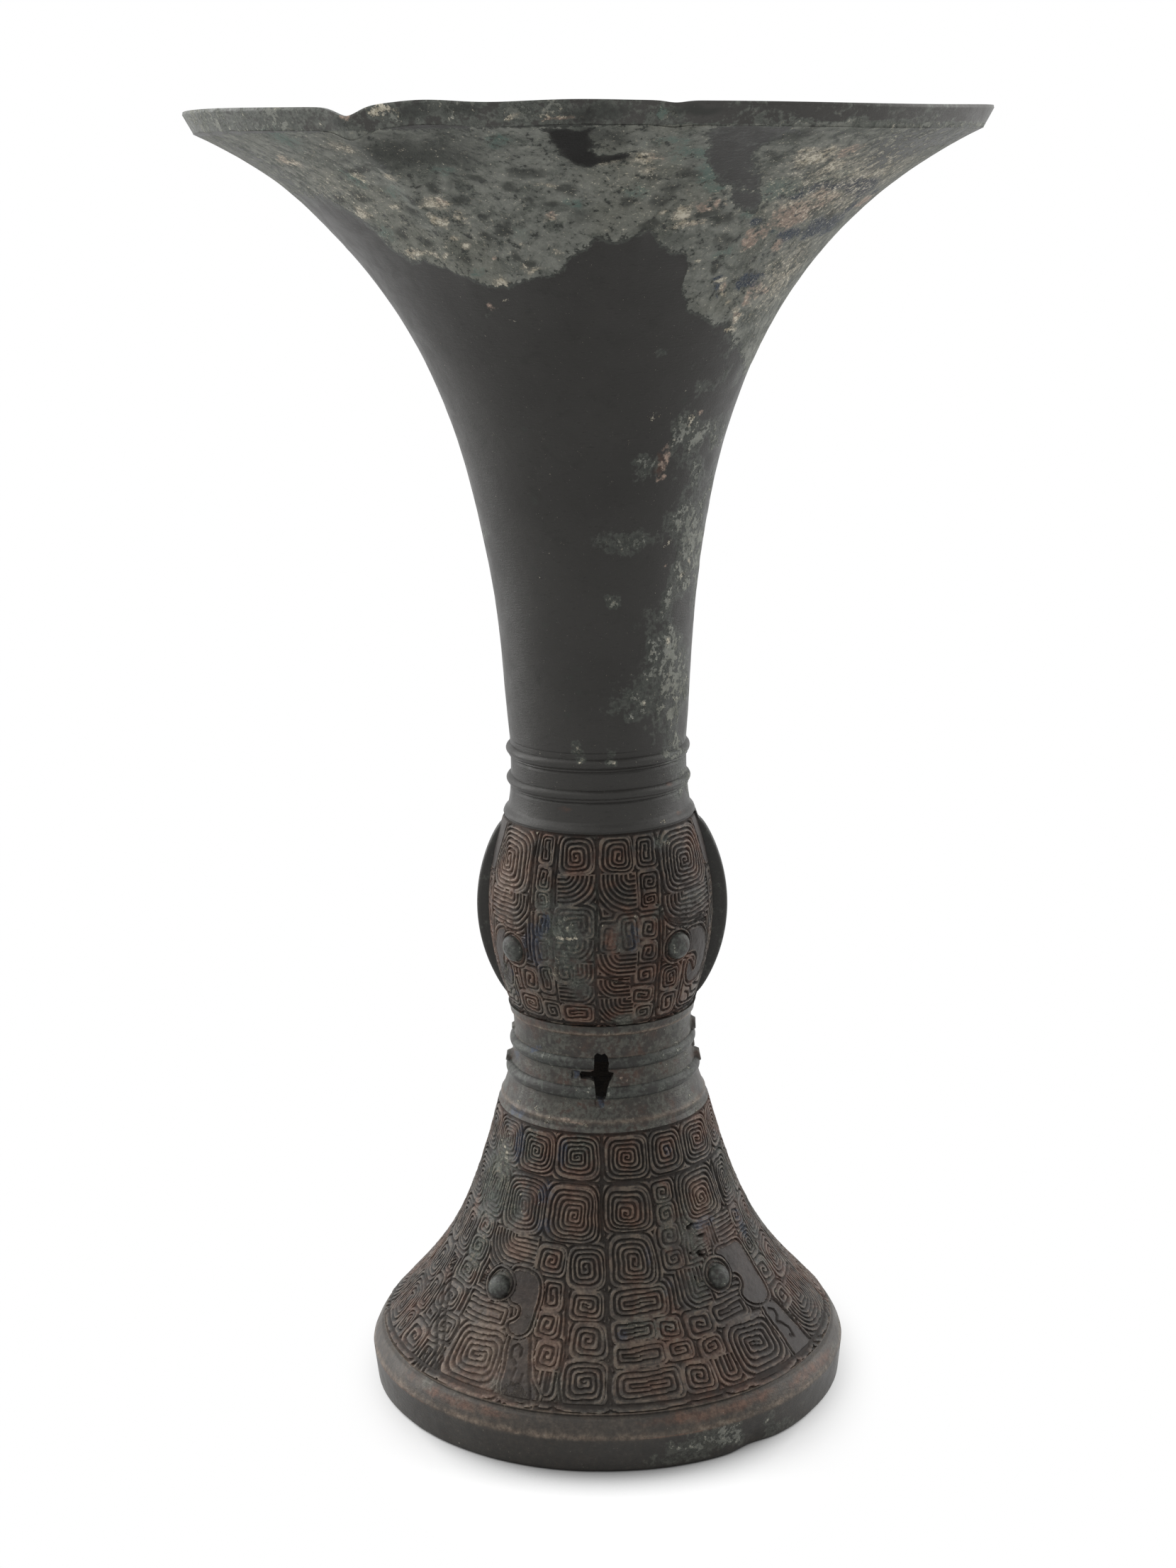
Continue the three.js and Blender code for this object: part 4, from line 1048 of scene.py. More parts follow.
# Dark places, of dark patina and of painted shade, and the relief's own tones
DARK_PATINA_AND_SHADE = (0.034, 0.036, 0.032)
RELIEF_DARK_TONE = (0.038, 0.0315, 0.0285)
BLACKEST = (0.009, 0.0085, 0.008)
RELIEF_SPECKS = (0.10, 0.082, 0.069)
RELIEF_BLOTS = (0.032, 0.026, 0.022)
HOLLOWS = (0.022, 0.0175, 0.0150)
# Paler crests of the relief: partly wear, partly a painted highlight
CREST_WEAR_AND_HIGHLIGHT = (0.220, 0.170, 0.126)
RELIEF_DARK = (0.020, 0.0165, 0.0150)

METALLIC = 0.2
SPECULAR = 0.22
BUMP_DEPTH = 0.14


class Nodes:
    """A material's node tree, built from the shader backwards."""

    def __init__(self, name):
        self.material = bpy.data.materials.new(name)
        self.material.use_nodes = True
        self.tree = self.material.node_tree
        self.shader = self.tree.nodes["Principled BSDF"]
        self.place = add_node(self.tree, "TexCoord").outputs["Object"]

    def noise(self, size, detail=3.0, rough=0.5, place=None, lean=0.0):
        """Noise from 0 to 1 whose features are about a size in millimetres."""
        inputs = {"Scale": 1.0 / (size * MM), "Detail": detail, "Roughness": rough, "Distortion": lean}
        return add_node(self.tree, "TexNoise", {**inputs, "Vector": place or self.place}).outputs["Fac"]

    def stretched(self, x, y, z):
        return add_node(self.tree, "VectorMath", {0: self.place, 1: (x, y, z)}, "MULTIPLY").outputs["Vector"]

    def layer(self, name):
        node = add_node(self.tree, "Attribute")
        node.attribute_name = name
        return node.outputs["Fac"]

    def sum(self, a, b, operation="ADD"):
        return add_node(self.tree, "Math", {0: a, 1: b}, operation).outputs[0]

    def times(self, a, b):
        return self.sum(a, b, "MULTIPLY")

    def range(self, value, low, high, to_low=0.0, to_high=1.0):
        inputs = {"Value": value, "From Min": low, "From Max": high, "To Min": to_low, "To Max": to_high}
        node = add_node(self.tree, "MapRange", inputs)
        node.interpolation_type = "SMOOTHSTEP"
        return node.outputs["Result"]

    def mix(self, share, a, b):
        node = add_node(self.tree, "Mix")
        node.data_type = "RGBA"
        for name, value in (("Factor", share), (6, a), (7, b)):
            feed(self.tree, node.inputs[name], value)
        return node.outputs[2]

    def bump(self, height, distance):
        return add_node(self.tree, "Bump", {"Distance": distance * MM, "Height": height}).outputs["Normal"]


def aged_bronze(name, relief=False, lift=1.0):
    """Aged bronze whose layers of patina, painted shade and painted highlight follow the attributes painted
    on the mesh.

    A relief has dark hollows, and crests painted paler, partly for wear and partly as a painted highlight.
    Lift makes the bare metal and the thin stain paler.
    """
    n = Nodes(name)
    slow = n.noise(26.0, 3.0)
    broad = n.noise(9.0, 4.0, 0.6, lean=0.5)
    mottle = n.noise(4.6, 6.0, 0.62, lean=0.5)
    small = n.noise(2.0, 5.0, 0.6, lean=0.4)
    grain = n.noise(0.9, 5.0, 0.68)
    fine = n.noise(0.34, 3.0, 0.6)
    veins = n.noise(2.6, 4.0, 0.6, lean=1.4)
    drawn = n.noise(1.6, 4.0, 0.6, place=n.stretched(1.0, 1.0, 4.5))
    blots = n.range(small, 0.32, 0.68)
    specks = n.range(grain, 0.32, 0.68)
    ragged = n.sum(n.times(n.sum(blots, -0.5), 0.9), n.times(n.sum(specks, -0.5), 0.9))

    def patches(layer_name, low, high, strength=1.0):
        """A painted layer with ragged edges."""
        edge = n.times(n.layer(layer_name), n.sum(ragged, 1.0))
        return n.range(edge, low, high, 0.0, strength)

    def tone(shade):
        return tuple(part * lift for part in shade)

    colour = n.mix(n.range(slow, 0.35, 0.65), tone(METAL[0]), tone(METAL[1]))
    for texture, low, high, strength, shade in (
        (mottle, 0.55, 0.75, 0.5, METAL_MOTTLE),
        (drawn, 0.58, 0.74, 0.6, METAL_STREAKS),
        (grain, 0.58, 0.72, 0.3, METAL_GRAIN),
        (fine, 0.64, 0.78, 0.45, METAL_GLINTS),
    ):
        colour = n.mix(n.range(texture, low, high, 0.0, strength), colour, tone(shade))
    red = n.range(n.sum(n.layer("red"), n.times(n.sum(mottle, -0.5), 0.9)), 0.35, 0.75)
    colour = n.mix(red, colour, n.mix(specks, *RUDDY))

    # A thin stain, dark and a little green
    stain = n.mix(specks, tone(STAIN[0]), tone(STAIN[1]))
    colour = n.mix(patches("green", 0.20, 0.44, 0.85), colour, stain)

    # A thick crust, pale and mottled, with darker patches and veins
    crust = patches("green", 0.60, 0.74)
    shades = RELIEF_CRUST if relief else CRUST
    shade = n.mix(n.sum(n.times(blots, 0.72), n.times(specks, 0.28)), *shades)
    shade = n.mix(n.range(broad, 0.48, 0.62, 0.0, 0.6), shade, CRUST_PATCHES)
    shade = n.mix(n.range(slow, 0.52, 0.62, 0.0, 0.35), shade, CRUST_TAN)
    shade = n.mix(n.range(mottle, 0.55, 0.66, 0.0, 0.6), shade, CRUST_MOTTLE)
    shade = n.mix(patches("teal", 0.25, 0.85, 0.7), shade, CRUST_TEAL)
    near_middle = n.sum(n.sum(veins, -0.5), 0.0, "ABSOLUTE")
    shade = n.mix(n.range(near_middle, 0.0, 0.035, 0.4, 0.0), shade, CRUST_VEINS)
    shade = n.mix(patches("cream", 0.08, 0.7, 0.7), shade, n.mix(blots, *CREAM_CRUST))
    colour = n.mix(n.times(crust, 0.95), colour, shade)
    # The dark layer darkens dark patina and, on the waist, paints shade along the string ridges and beside
    # the stubs. On the relief it darkens the smooth plates and other places
    darkened = n.range(n.layer("dark"), 0.08, 0.72, 0.0, 0.76)
    colour = n.mix(darkened, colour, RELIEF_DARK_TONE if relief else DARK_PATINA_AND_SHADE)

    # Films of other colours, broken up by the finest noise
    broken = n.range(fine, 0.38, 0.56, 0.45, 1.0)
    pink = n.times(patches("pink", 0.28, 0.68, 0.88), broken)
    colour = n.mix(pink, colour, n.mix(specks, *PINK_FILM))
    blue = n.times(patches("blue", 0.26, 0.58, 0.98), broken)
    colour = n.mix(blue, colour, n.mix(specks, *BLUE_FILM))
    # Painted highlight as well as film: on the waist and the rim the tan paints paler lines along raised
    # edges and the crease, and a paler upper band on the rim
    tan = n.times(n.layer("tan"), n.range(blots, 0.0, 1.0, 0.5, 1.0))
    colour = n.mix(tan, colour, n.mix(specks, *TAN_FILM_AND_HIGHLIGHT))

    # Pale flecks, few on the crust and close together where cream is painted
    scatter = n.sum(n.times(fine, 0.45), n.times(grain, 0.55))
    scatter = n.sum(scatter, n.times(n.layer("cream"), 0.19))
    scatter = n.sum(scatter, n.times(crust, 0.045))
    cream = n.range(scatter, 0.63, 0.70)
    colour = n.mix(n.times(cream, 0.85), colour, n.mix(blots, *FLECKS))
    # The black layer: the darkest bare place by the mouth, and painted shade inside the waist's cross hole,
    # on the waist's inside and in the foot's casting pits
    colour = n.mix(n.layer("black"), colour, BLACKEST)

    raised = n.sum(crust, cream, "MAXIMUM")
    rough = n.range(mottle, 0.3, 0.7, 0.38, 0.48)
    if relief:
        height = n.layer("height")
        colour = n.mix(n.range(specks, 0.5, 1.0, 0.0, 0.25), colour, RELIEF_SPECKS)
        colour = n.mix(n.range(blots, 0.4, 0.0, 0.0, 0.35), colour, RELIEF_BLOTS)
        hollow = n.range(height, 0.0, 0.7, 1.0, 0.0)
        hidden = n.range(n.layer("tan"), 0.0, 1.0, 0.66, 0.12)
        colour = n.mix(n.times(hollow, hidden), colour, HOLLOWS)
        # Painted highlight and wear: the crests are painted paler, less where the relief is dark or tan
        worn = n.times(n.range(height, 0.84, 1.0), n.range(blots, 0.1, 0.9, 0.15, 0.8))
        worn = n.times(worn, n.range(n.layer("dark"), 0.3, 1.0, 0.45, 0.2))
        worn = n.times(worn, n.range(n.layer("tan"), 0.0, 1.0, 1.0, 0.3))
        colour = n.mix(worn, colour, CREST_WEAR_AND_HIGHLIGHT)
        colour = n.mix(n.times(n.layer("dark"), 0.42), colour, RELIEF_DARK)
        rough = n.range(height, 0.2, 0.9, 0.7, 0.46)
    surface = n.sum(n.times(drawn, 0.5), n.times(fine, 0.35))
    surface = n.sum(surface, n.times(n.times(raised, grain), 2.0))
    for socket, value in (
        ("Base Color", colour),
        ("Roughness", n.sum(rough, n.times(raised, 0.28))),
        ("Metallic", METALLIC),
        ("Specular IOR Level", SPECULAR),
        ("Normal", n.bump(surface, BUMP_DEPTH)),
    ):
        feed(n.tree, n.shader.inputs[socket], value)
    return n.material


SPOT_LAYERS = {"teal": TEAL, "dark": DARK, "cream": CREAM, "pink": PINK, "blue": BLUE}


def paint(piece, extra=None, red=0.0, green=None, mottled=0.0, tan=None):
    """Writes the patina layers, with their painted shade and highlights, on a mesh, by where each of its
    points lies.
    """
    points = points_of(piece)
    angle, height = angle_of(points), points[:, 2]
    swayed_angle, swayed_height, _ = swayed(angle, height, points, 2.8, 1.7, 5)
    if green is None:
        green = np.maximum(green_cover(angle, height, points), mottled * clouds(points, 5.0, 71, 4))
    layers = {"green": green, "black": 0.85 * black_cover(swayed_angle, swayed_height, points)}
    layers["tan"] = tan(height) * (0.5 + clouds(points, 5.0, 77, 3)) if tan else np.zeros(len(points))
    for layer_name, places in SPOT_LAYERS.items():
        layers[layer_name] = spots(swayed_angle, swayed_height, places)
    layers["red"] = red if np.ndim(red) else np.maximum(red, spots(angle, height, RED))
    layers.update(extra or {})
    for layer_name, values in layers.items():
        layer = piece.data.attributes.new(layer_name, "FLOAT", "POINT")
        layer.data.foreach_set("value", np.asarray(values, dtype=np.float32))


def stands_for(piece, slot, material, *nodes):
    piece.data.materials.append(material)
    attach(piece, "root")
    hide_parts(*nodes)


# Plain tiers

# How many points each tier has round it
ROUND = 384
INNER_ROUND = 128
LIP_ROUND = 720
FOOT_RIM_ROUND = 480

# How large the noise's features are on the metal, in millimetres
DENT_SIZE = 16.0
GRAIN_SIZE = 2.2
CRUST_GRAIN_SIZE = 2.4


def around(count):
    """Angles all the way round, three times as close across the front as behind."""
    front, behind = count * 3 // 4, count // 4
    ahead = np.arange(front) * 180.0 / front - 90.0
    return np.concatenate([ahead, np.arange(behind) * 180.0 / behind + 90.0])


def uneven(angle, radius, height, seed, dents=0.12, grain=0.03):
    """The radius with the slight dents and grain of old bronze."""
    points = flat_points(angle, radius, height)
    swell = dents * (clouds(points, DENT_SIZE, seed, 2) - 0.5) * 2.0
    rough = grain * (clouds(points, GRAIN_SIZE, seed + 5, 2) - 0.5) * 2.0
    return radius + swell + rough


def crusted(angle, radius, height, seed):
    """Uneven bronze that also stands a little proud, and is rougher, under its green."""
    points = flat_points(angle, radius, height)
    cover = smooth(0.42, 0.6, green_cover(angle, height, points))
    crust = cover * (0.05 + 0.16 * (clouds(points, CRUST_GRAIN_SIZE, seed + 9, 3) - 0.35))
    return uneven(angle, radius, height, seed) + crust


def plain_tier(name, curve, heights, inner_rows, seed, shape=None):
    """A tier turned about the axis, which a shape may make thicker or thinner by angle and height."""
    angle, radius, height = grid(around(ROUND), heights, radius_at(curve, heights))
    if shape is not None:
        radius = radius + shape(angle, height)
    outer = placed(angle, crusted(angle, radius, height, seed), height)
    angle, radius, height = inside_grid(curve, around(INNER_ROUND), inner_rows)
    inner = placed(angle, uneven(angle, radius, height, seed + 3), height)
    return shell(name, outer, inner, wrap=True)


# The trumpet's rows lie closer together above this height, where its patina is
CRUST_BOTTOM = 215.0
# How much fuller the flare is at its left, by height
FULLER_HEIGHTS = [170, 182, 192, 218, 239, 245, 252]
FULLER = [0.0, 0.4, 0.6, 0.75, 1.05, 0.8, 0.0]


def trumpet_shape(angle, height):
    """The flare is a little fuller on its left side."""
    left = np.clip(-np.sin(np.radians(angle)), 0.0, 1.0)
    return np.interp(height, FULLER_HEIGHTS, FULLER) * left ** 2


def thinned(values, count):
    return values[np.linspace(0, len(values) - 1, count).astype(int)]


def make_trumpet(material):
    heights = even_heights(TRUMPET_OUTLINE, 1000)
    low, high = heights[heights < CRUST_BOTTOM], heights[heights >= CRUST_BOTTOM]
    heights = np.concatenate([thinned(low, 96), thinned(high, 132)])
    piece = plain_tier("trumpet_cast", TRUMPET_OUTLINE, heights, 48, seed=40, shape=trumpet_shape)
    paint(piece)
    stands_for(piece, "trumpet_bronze", material, "trumpet")


def make_lip(material):
    """The steep band above the crease, with its notch, and the flare's inside up to a thin edge."""
    heights = np.linspace(LIP_BOTTOM, LIP_TOP, 18)
    angle, radius, height = grid(around(LIP_ROUND), heights, radius_at(LIP_OUTLINE, heights))
    rounded = 0.35 * smooth(LIP_TOP - 0.5, LIP_TOP, height)
    outer = placed(angle, uneven(angle, radius, height, 50, 0.08, 0.02) - rounded, height)
    foot = inner_curve(TRUMPET_OUTLINE)[-1, 0]
    share = np.linspace(0.0, 1.0, 10)
    radii = foot + (LIP_RADIUS - LIP_EDGE - foot) * share
    inner = placed(*grid(around(LIP_ROUND // 2), LIP_BOTTOM + (LIP_TOP - LIP_BOTTOM) * share, radii))
    piece = shell("mouth_lip_cast", outer, inner, wrap=True)
    turn = angle_of(points_of(piece))
    paint(piece, mottled=0.4 + 0.65 * smooth(10.0, -12.0, turn) - 0.4 * bump(turn, -25.0, 4.0))
    stands_for(piece, "lip_bronze", material, "mouth_lip")


# Fine lines on the collar and the waist, as (height, half width, how far out)
COLLAR_LINES = [
    (136.95, 0.28, 0.3), (136.45, 0.22, -0.25), (131.0, 0.2, 0.25), (130.6, 0.16, 0.2),
    (130.25, 0.2, -0.25),
]
WAIST_LINES = [(81.5, 0.25, 0.14), (63.4, 0.35, 0.22), (62.3, 0.3, -0.2)]


def collar_shape(angle, height):
    """Fine lines under the ridges, and the shoulder's small overhang above the relief."""
    return bumps(height, COLLAR_LINES) + 0.5 * smooth(126.4, 125.2, height) * smooth(124.3, 124.8, height)


# Stubs that the mould's joints left on the waist, as (angle, height, half width, half height, how far out)
STUBS = [
    (-89, 70.9, 4.5, 1.3, 1.1), (-88, 77.6, 4.0, 0.7, 0.5), (89, 77.4, 4.5, 1.5, 1.0),
    (89, 70.4, 4.5, 1.6, 1.2), (84, 73.6, 2.5, 0.8, 0.5),
]
# Places beside the cross where its opening is filled in, as (left, right, low, high)
FILLED = [(-20.4, -15.0, 71.9, 73.5), (-5.5, -0.6, 66.4, 67.9)]


def waist_shape(angle, height):
    """The ledge under the bulb, the fine lines, stubs at the sides and sunk fillings."""
    shape = 0.4 * smooth(81.3, 81.8, height) + bumps(height, WAIST_LINES)
    for middle, level, wide, tall, proud in STUBS:
        away = np.hypot(turned(angle, middle) / wide, (height - level) / tall)
        shape = shape + proud * smooth(1.15, 0.75, away)
    for left, right, low, high in FILLED:
        across = smooth(left - 0.4, left + 0.4, angle) * smooth(right + 0.4, right - 0.4, angle)
        up = smooth(low - 0.2, low + 0.2, height) * smooth(high + 0.2, high - 0.2, height)
        shape = shape - 0.5 * across * up
    return shape


# Roughly how far from the axis the string ridges lie, how deep their feet are sunk and how deep they are
RING_RADIUS = 20.0
RING_SUNK = 0.06
RING_DEPTH = 0.5


def ring(name, curve, height, half_width, proud, seed, front):
    """A soft ridge laid round a wall, a little uneven, and worn down to a share of its height in front."""
    angle = around(ROUND)
    points = flat_points(angle, np.full_like(angle, RING_RADIUS), np.full_like(angle, height))
    level = height + 0.3 * (clouds(points, 14.0, seed, 2) - 0.5)
    thick = proud * (0.86 + 0.28 * noise(points, 6.0, seed + 4))
    thick = thick * (1.0 - (1.0 - front) * smooth(0.35, 0.85, np.cos(np.radians(angle))))
    rows = []
    for step in np.linspace(-1.0, 1.0, 13):
        z = level + half_width * step
        swell = (1.0 - step * step) ** 0.8
        rows.append(placed(angle, radius_at(curve, z) - RING_SUNK + (thick + RING_SUNK) * swell, z))
    outer = np.array(rows)
    ends = (level - half_width, level + half_width)
    inner = np.array([placed(angle, radius_at(curve, end) - RING_DEPTH, end) for end in ends])
    return shell(name, outer, inner, wrap=True)


def cut_out(piece, cutter):
    """Cuts a solid out of a piece and deletes the cutter."""
    modifier = piece.modifiers.new("cut", "BOOLEAN")
    modifier.operation = "DIFFERENCE"
    modifier.solver = "EXACT"
    modifier.object = cutter
    bpy.context.view_layer.objects.active = piece
    bpy.ops.object.modifier_apply(modifier=modifier.name)
    piece.data.shade_smooth()
    piece.data.set_sharp_from_angle(angle=math.radians(CUT_SHARP))


# The cross hole's irregular outline, as (angle, height), clockwise from the upright's top left
CROSS = [
    (-5.6, 77.0), (-3.8, 77.6), (-1.2, 77.2), (0.8, 77.5), (2.6, 76.8), (3.4, 75.4), (2.6, 74.2),
    (3.2, 73.6), (6.2, 73.3), (5.6, 72.5), (3.6, 71.4), (2.4, 70.3), (1.4, 69.0), (0.6, 68.0), (-2.4, 67.7),
    (-5.0, 67.9), (-5.5, 70.0), (-6.0, 71.5), (-8.0, 71.9), (-14.2, 72.0), (-15.0, 72.9), (-14.0, 73.6),
    (-8.0, 73.6), (-6.1, 73.9), (-5.8, 75.5),
]
CROSS_NEAR = 12.0
CROSS_FAR = 30.0
CROSS_MIDDLE = 72.6


def cross_cutter(turn):
    angle, height = np.array(CROSS, float).T
    side = radius_at(WAIST_OUTLINE, CROSS_MIDDLE) * np.sin(np.radians(angle))
    ends = [np.stack([side, np.full(len(side), -away), height], 1) * MM for away in (CROSS_NEAR, CROSS_FAR)]
    count = len(side)
    faces = [list(range(count)), list(range(count, 2 * count))[::-1]]
    for i in range(count):
        k = (i + 1) % count
        faces.append([k, i, count + i, count + k])
    cutter = mesh_object("cutter", np.concatenate(ends), faces)
    cutter.data.transform(Matrix.Rotation(turn, 4, "Z"))
    bpy.context.view_layer.update()
    return cutter


def cut_crosses(piece):
    for turn in (0.0, math.pi):
        cutter = cross_cutter(turn)
        cut_out(piece, cutter)
        bpy.data.objects.remove(cutter)


def waist_tan_and_highlight(height):
    """Where the waist's raised edges are paler brown, partly worn and partly a painted highlight on the
    ledge, the lower line and the upper ridge's top edge.
    """
    return 0.12 + bumps(height, [(81.7, 0.32, 1.1), (63.5, 0.45, 0.6), (76.4, 0.4, 0.25)])


def rim_tan_and_highlight(height):
    """The same for the rim: paler lines on the ledge and just above the crease, partly worn and partly a
    painted highlight, and painted light on its upper band, which faces up, making it paler than its foot.
    """
    band = 0.1 + 0.18 * smooth(FOOT_CREASE - 0.1, FOOT_CREASE + 0.2, height)
    return band + bumps(height, [(12.2, 0.35, 0.8), (FOOT_CREASE + 0.5, 0.6, 0.55)])


def make_waist(material):
    heights = even_heights(WAIST_OUTLINE, 110)
    piece = plain_tier("waist_cast", WAIST_OUTLINE, heights, 30, seed=60, shape=waist_shape)
    cut_crosses(piece)
    points = points_of(piece)
    # Painted shade: all that lies well inside the outline, the cross hole's cut walls and the waist's inside
    # face, is painted black
    black = smooth(0.7, 1.6, radius_at(WAIST_OUTLINE, points[:, 2]) - radius_of(points))
    red = 0.4 + 0.3 * (clouds(points, 6.0, 66, 3) - 0.4)
    paint(piece, {"black": black}, red=red, mottled=0.66, tan=waist_tan_and_highlight)
    stands_for(piece, "plain_bronze", material, "waist_collar")


def make_collar(material):
    heights = even_heights(COLLAR_OUTLINE, 120)
    piece = plain_tier("neck_collar_cast", COLLAR_OUTLINE, heights, 20, seed=70, shape=collar_shape)
    paint(piece, red=0.12)
    stands_for(piece, "plain_bronze", material, "neck_collar")


# Each string ridge is (name, outline, height, half width, how far out, seed, nodes)
RIDGES = [
    ("neck_ridge_upper", COLLAR_OUTLINE, 138.25, 1.15, 0.85, 81, ["neck_ridge_upper"]),
    ("neck_ridge_lower", COLLAR_OUTLINE, 131.9, 1.05, 0.8, 82, ["neck_ridge_lower"]),
    ("waist_ridge_upper", WAIST_OUTLINE, 75.2, 1.3, 0.85, 83,
     ["waist_ridge_upper_left", "waist_ridge_upper_right"]),
    ("waist_ridge_lower", WAIST_OUTLINE, 69.2, 1.3, 0.85, 84, ["waist_ridge_lower"]),
]


def make_ridges(material):
    """The four string ridges. Those on the waist are more worn, and the cross goes through them."""
    for name, curve, height, half_width, proud, seed, nodes in RIDGES:
        on_waist = curve is WAIST_OUTLINE
        piece = ring(f"{name}_cast", curve, height, half_width, proud, seed, 0.8 if on_waist else 1.0)
        if on_waist:
            cut_crosses(piece)
        paint(piece, red=0.18, mottled=0.72 if on_waist else 0.0)
        stands_for(piece, "ridge_bronze", material, *nodes)


# How wide the ring is that the vessel stands on
STANDING_WIDTH = 4.0


def make_foot_rim(material):
    """The plain band that the vessel stands on, creased at its widest, with a shallow dent."""
    parts = ((0.0, 6.8, 22), (7.0, 7.9, 8), (8.1, FOOT_BOTTOM, 24))
    heights = np.concatenate([np.linspace(*part) for part in parts])
    radii = radius_at(RIM_OUTLINE, heights)
    radii = radii + 0.22 * np.sin(np.pi * np.clip((heights - FOOT_CREASE) / 3.9, 0, 1))
    radii = radii - 0.5 * smooth(0.7, 0.0, heights) - 0.5 * bump(heights, 11.45, 0.26)
    angle, radius, height = grid(around(FOOT_RIM_ROUND), heights, radii)
    dent = 1.1 * bump(angle, 36.0, 5.0) * smooth(7.0, 1.0, height)
    outer = placed(angle, uneven(angle, radius, height, 90, 0.15, 0.05) - dent, height)
    share = np.linspace(0.0, 1.0, 8)
    foot, top = GROUND_RADIUS - STANDING_WIDTH, inner_curve(FOOT_OUTLINE)[0, 0]
    inner = placed(*grid(around(FOOT_RIM_ROUND // 3), FOOT_BOTTOM * share, foot + (top - foot) * share))
    piece = shell("foot_rim_cast", outer, inner, wrap=True)
    paint(piece, red=0.22, tan=rim_tan_and_highlight)
    stands_for(piece, "foot_bronze", material, "foot_rim")


# Decorated tiers

def smoothed(line):
    """A closed line drawn smoothly through its points."""
    points = np.array(line, float)
    before, after = np.roll(points, 1, axis=0), np.roll(points, -1, axis=0)
    beyond = np.roll(points, -2, axis=0)
    drawn = []
    for t in (0.0, 0.25, 0.5, 0.75):
        bend = 2 * points + (after - before) * t + (2 * before - 5 * points + 4 * after - beyond) * t ** 2
        drawn.append((bend + (3 * points - before - 3 * after + beyond) * t ** 3) / 2)
    closed = np.stack(drawn, axis=1).reshape(-1, 2)
    return np.vstack([closed, closed[:1]])


# The same plate for the left eye, mirrored and narrower
BULB_LEFT_PLATE = [
    (-9.0 - angle if angle < 50 else -16.5 - 0.78 * angle, height) for angle, height in BULB_PLATE
]

# The counts are columns and rows on the outside, then inside. The socket is its radius round an eye
BULB_MASK = {
    "curve": BULB_OUTLINE, "pitch": BULB_PITCH, "depth": 0.5, "counts": (421, 222, 43, 24),
    "nests": BULB_NESTS, "spirals": BULB_SPIRALS, "smooth": BULB_SMOOTH,
    "grooves": BULB_GROOVES, "groove width": 0.2,
    "borders": (BULB_BOTTOM + 0.65, COLLAR_BOTTOM - 0.3), "plates": [BULB_PLATE, BULB_LEFT_PLATE],
    "eyes": BULB_EYE_SPOTS, "socket": 2.75, "wear": BULB_WEAR, "pits": [],
    "red": BULB_RED, "green": BULB_GREEN, "blue": BULB_BLUE, "cream": BULB_CREAM,
    "tan": BULB_TAN, "dark": BULB_DARK,
}
FOOT_MASK = {
    "curve": FOOT_OUTLINE, "pitch": FOOT_PITCH, "depth": 0.55, "counts": (341, 281, 21, 24),
    "nests": FOOT_NESTS, "spirals": FOOT_SPIRALS, "smooth": FOOT_SMOOTH,
    "grooves": FOOT_GROOVES, "groove width": 0.26,
    "borders": (FOOT_BOTTOM + 1.1, 51.5, WAIST_BOTTOM - 0.4), "plates": FOOT_PLATES,
    "eyes": FOOT_EYE_SPOTS, "socket": 2.6, "wear": FOOT_WEAR, "pits": FOOT_PITS,
    "red": FOOT_RED, "green": FOOT_GREEN, "blue": FOOT_BLUE, "cream": FOOT_CREAM,
    "tan": FOOT_TAN, "dark": FOOT_DARK,
}


def draw_mask(mask, angle, height, seed):
    """A mask's relief, drawn shape by shape at a grid of places."""
    field = Field(angle, height, mask["curve"], mask["pitch"], seed)
    for cell in mask["nests"]:
        field.nest(*cell)
    for cell in mask["spirals"]:
        field.spiral(*cell)
    field.fill_gaps()
    for line in mask["smooth"]:
        field.plate(line)
    for line in mask["grooves"]:
        field.groove(line, mask["groove width"])
    for level in mask["borders"]:
        field.border(level)
    for line in mask["plates"]:
        field.plate(line)
    for place in mask["eyes"]:
        field.socket(*place, mask["socket"])
    return field


# How far the back's patina is turned against the front's
BACK_SHIFT = 25.0


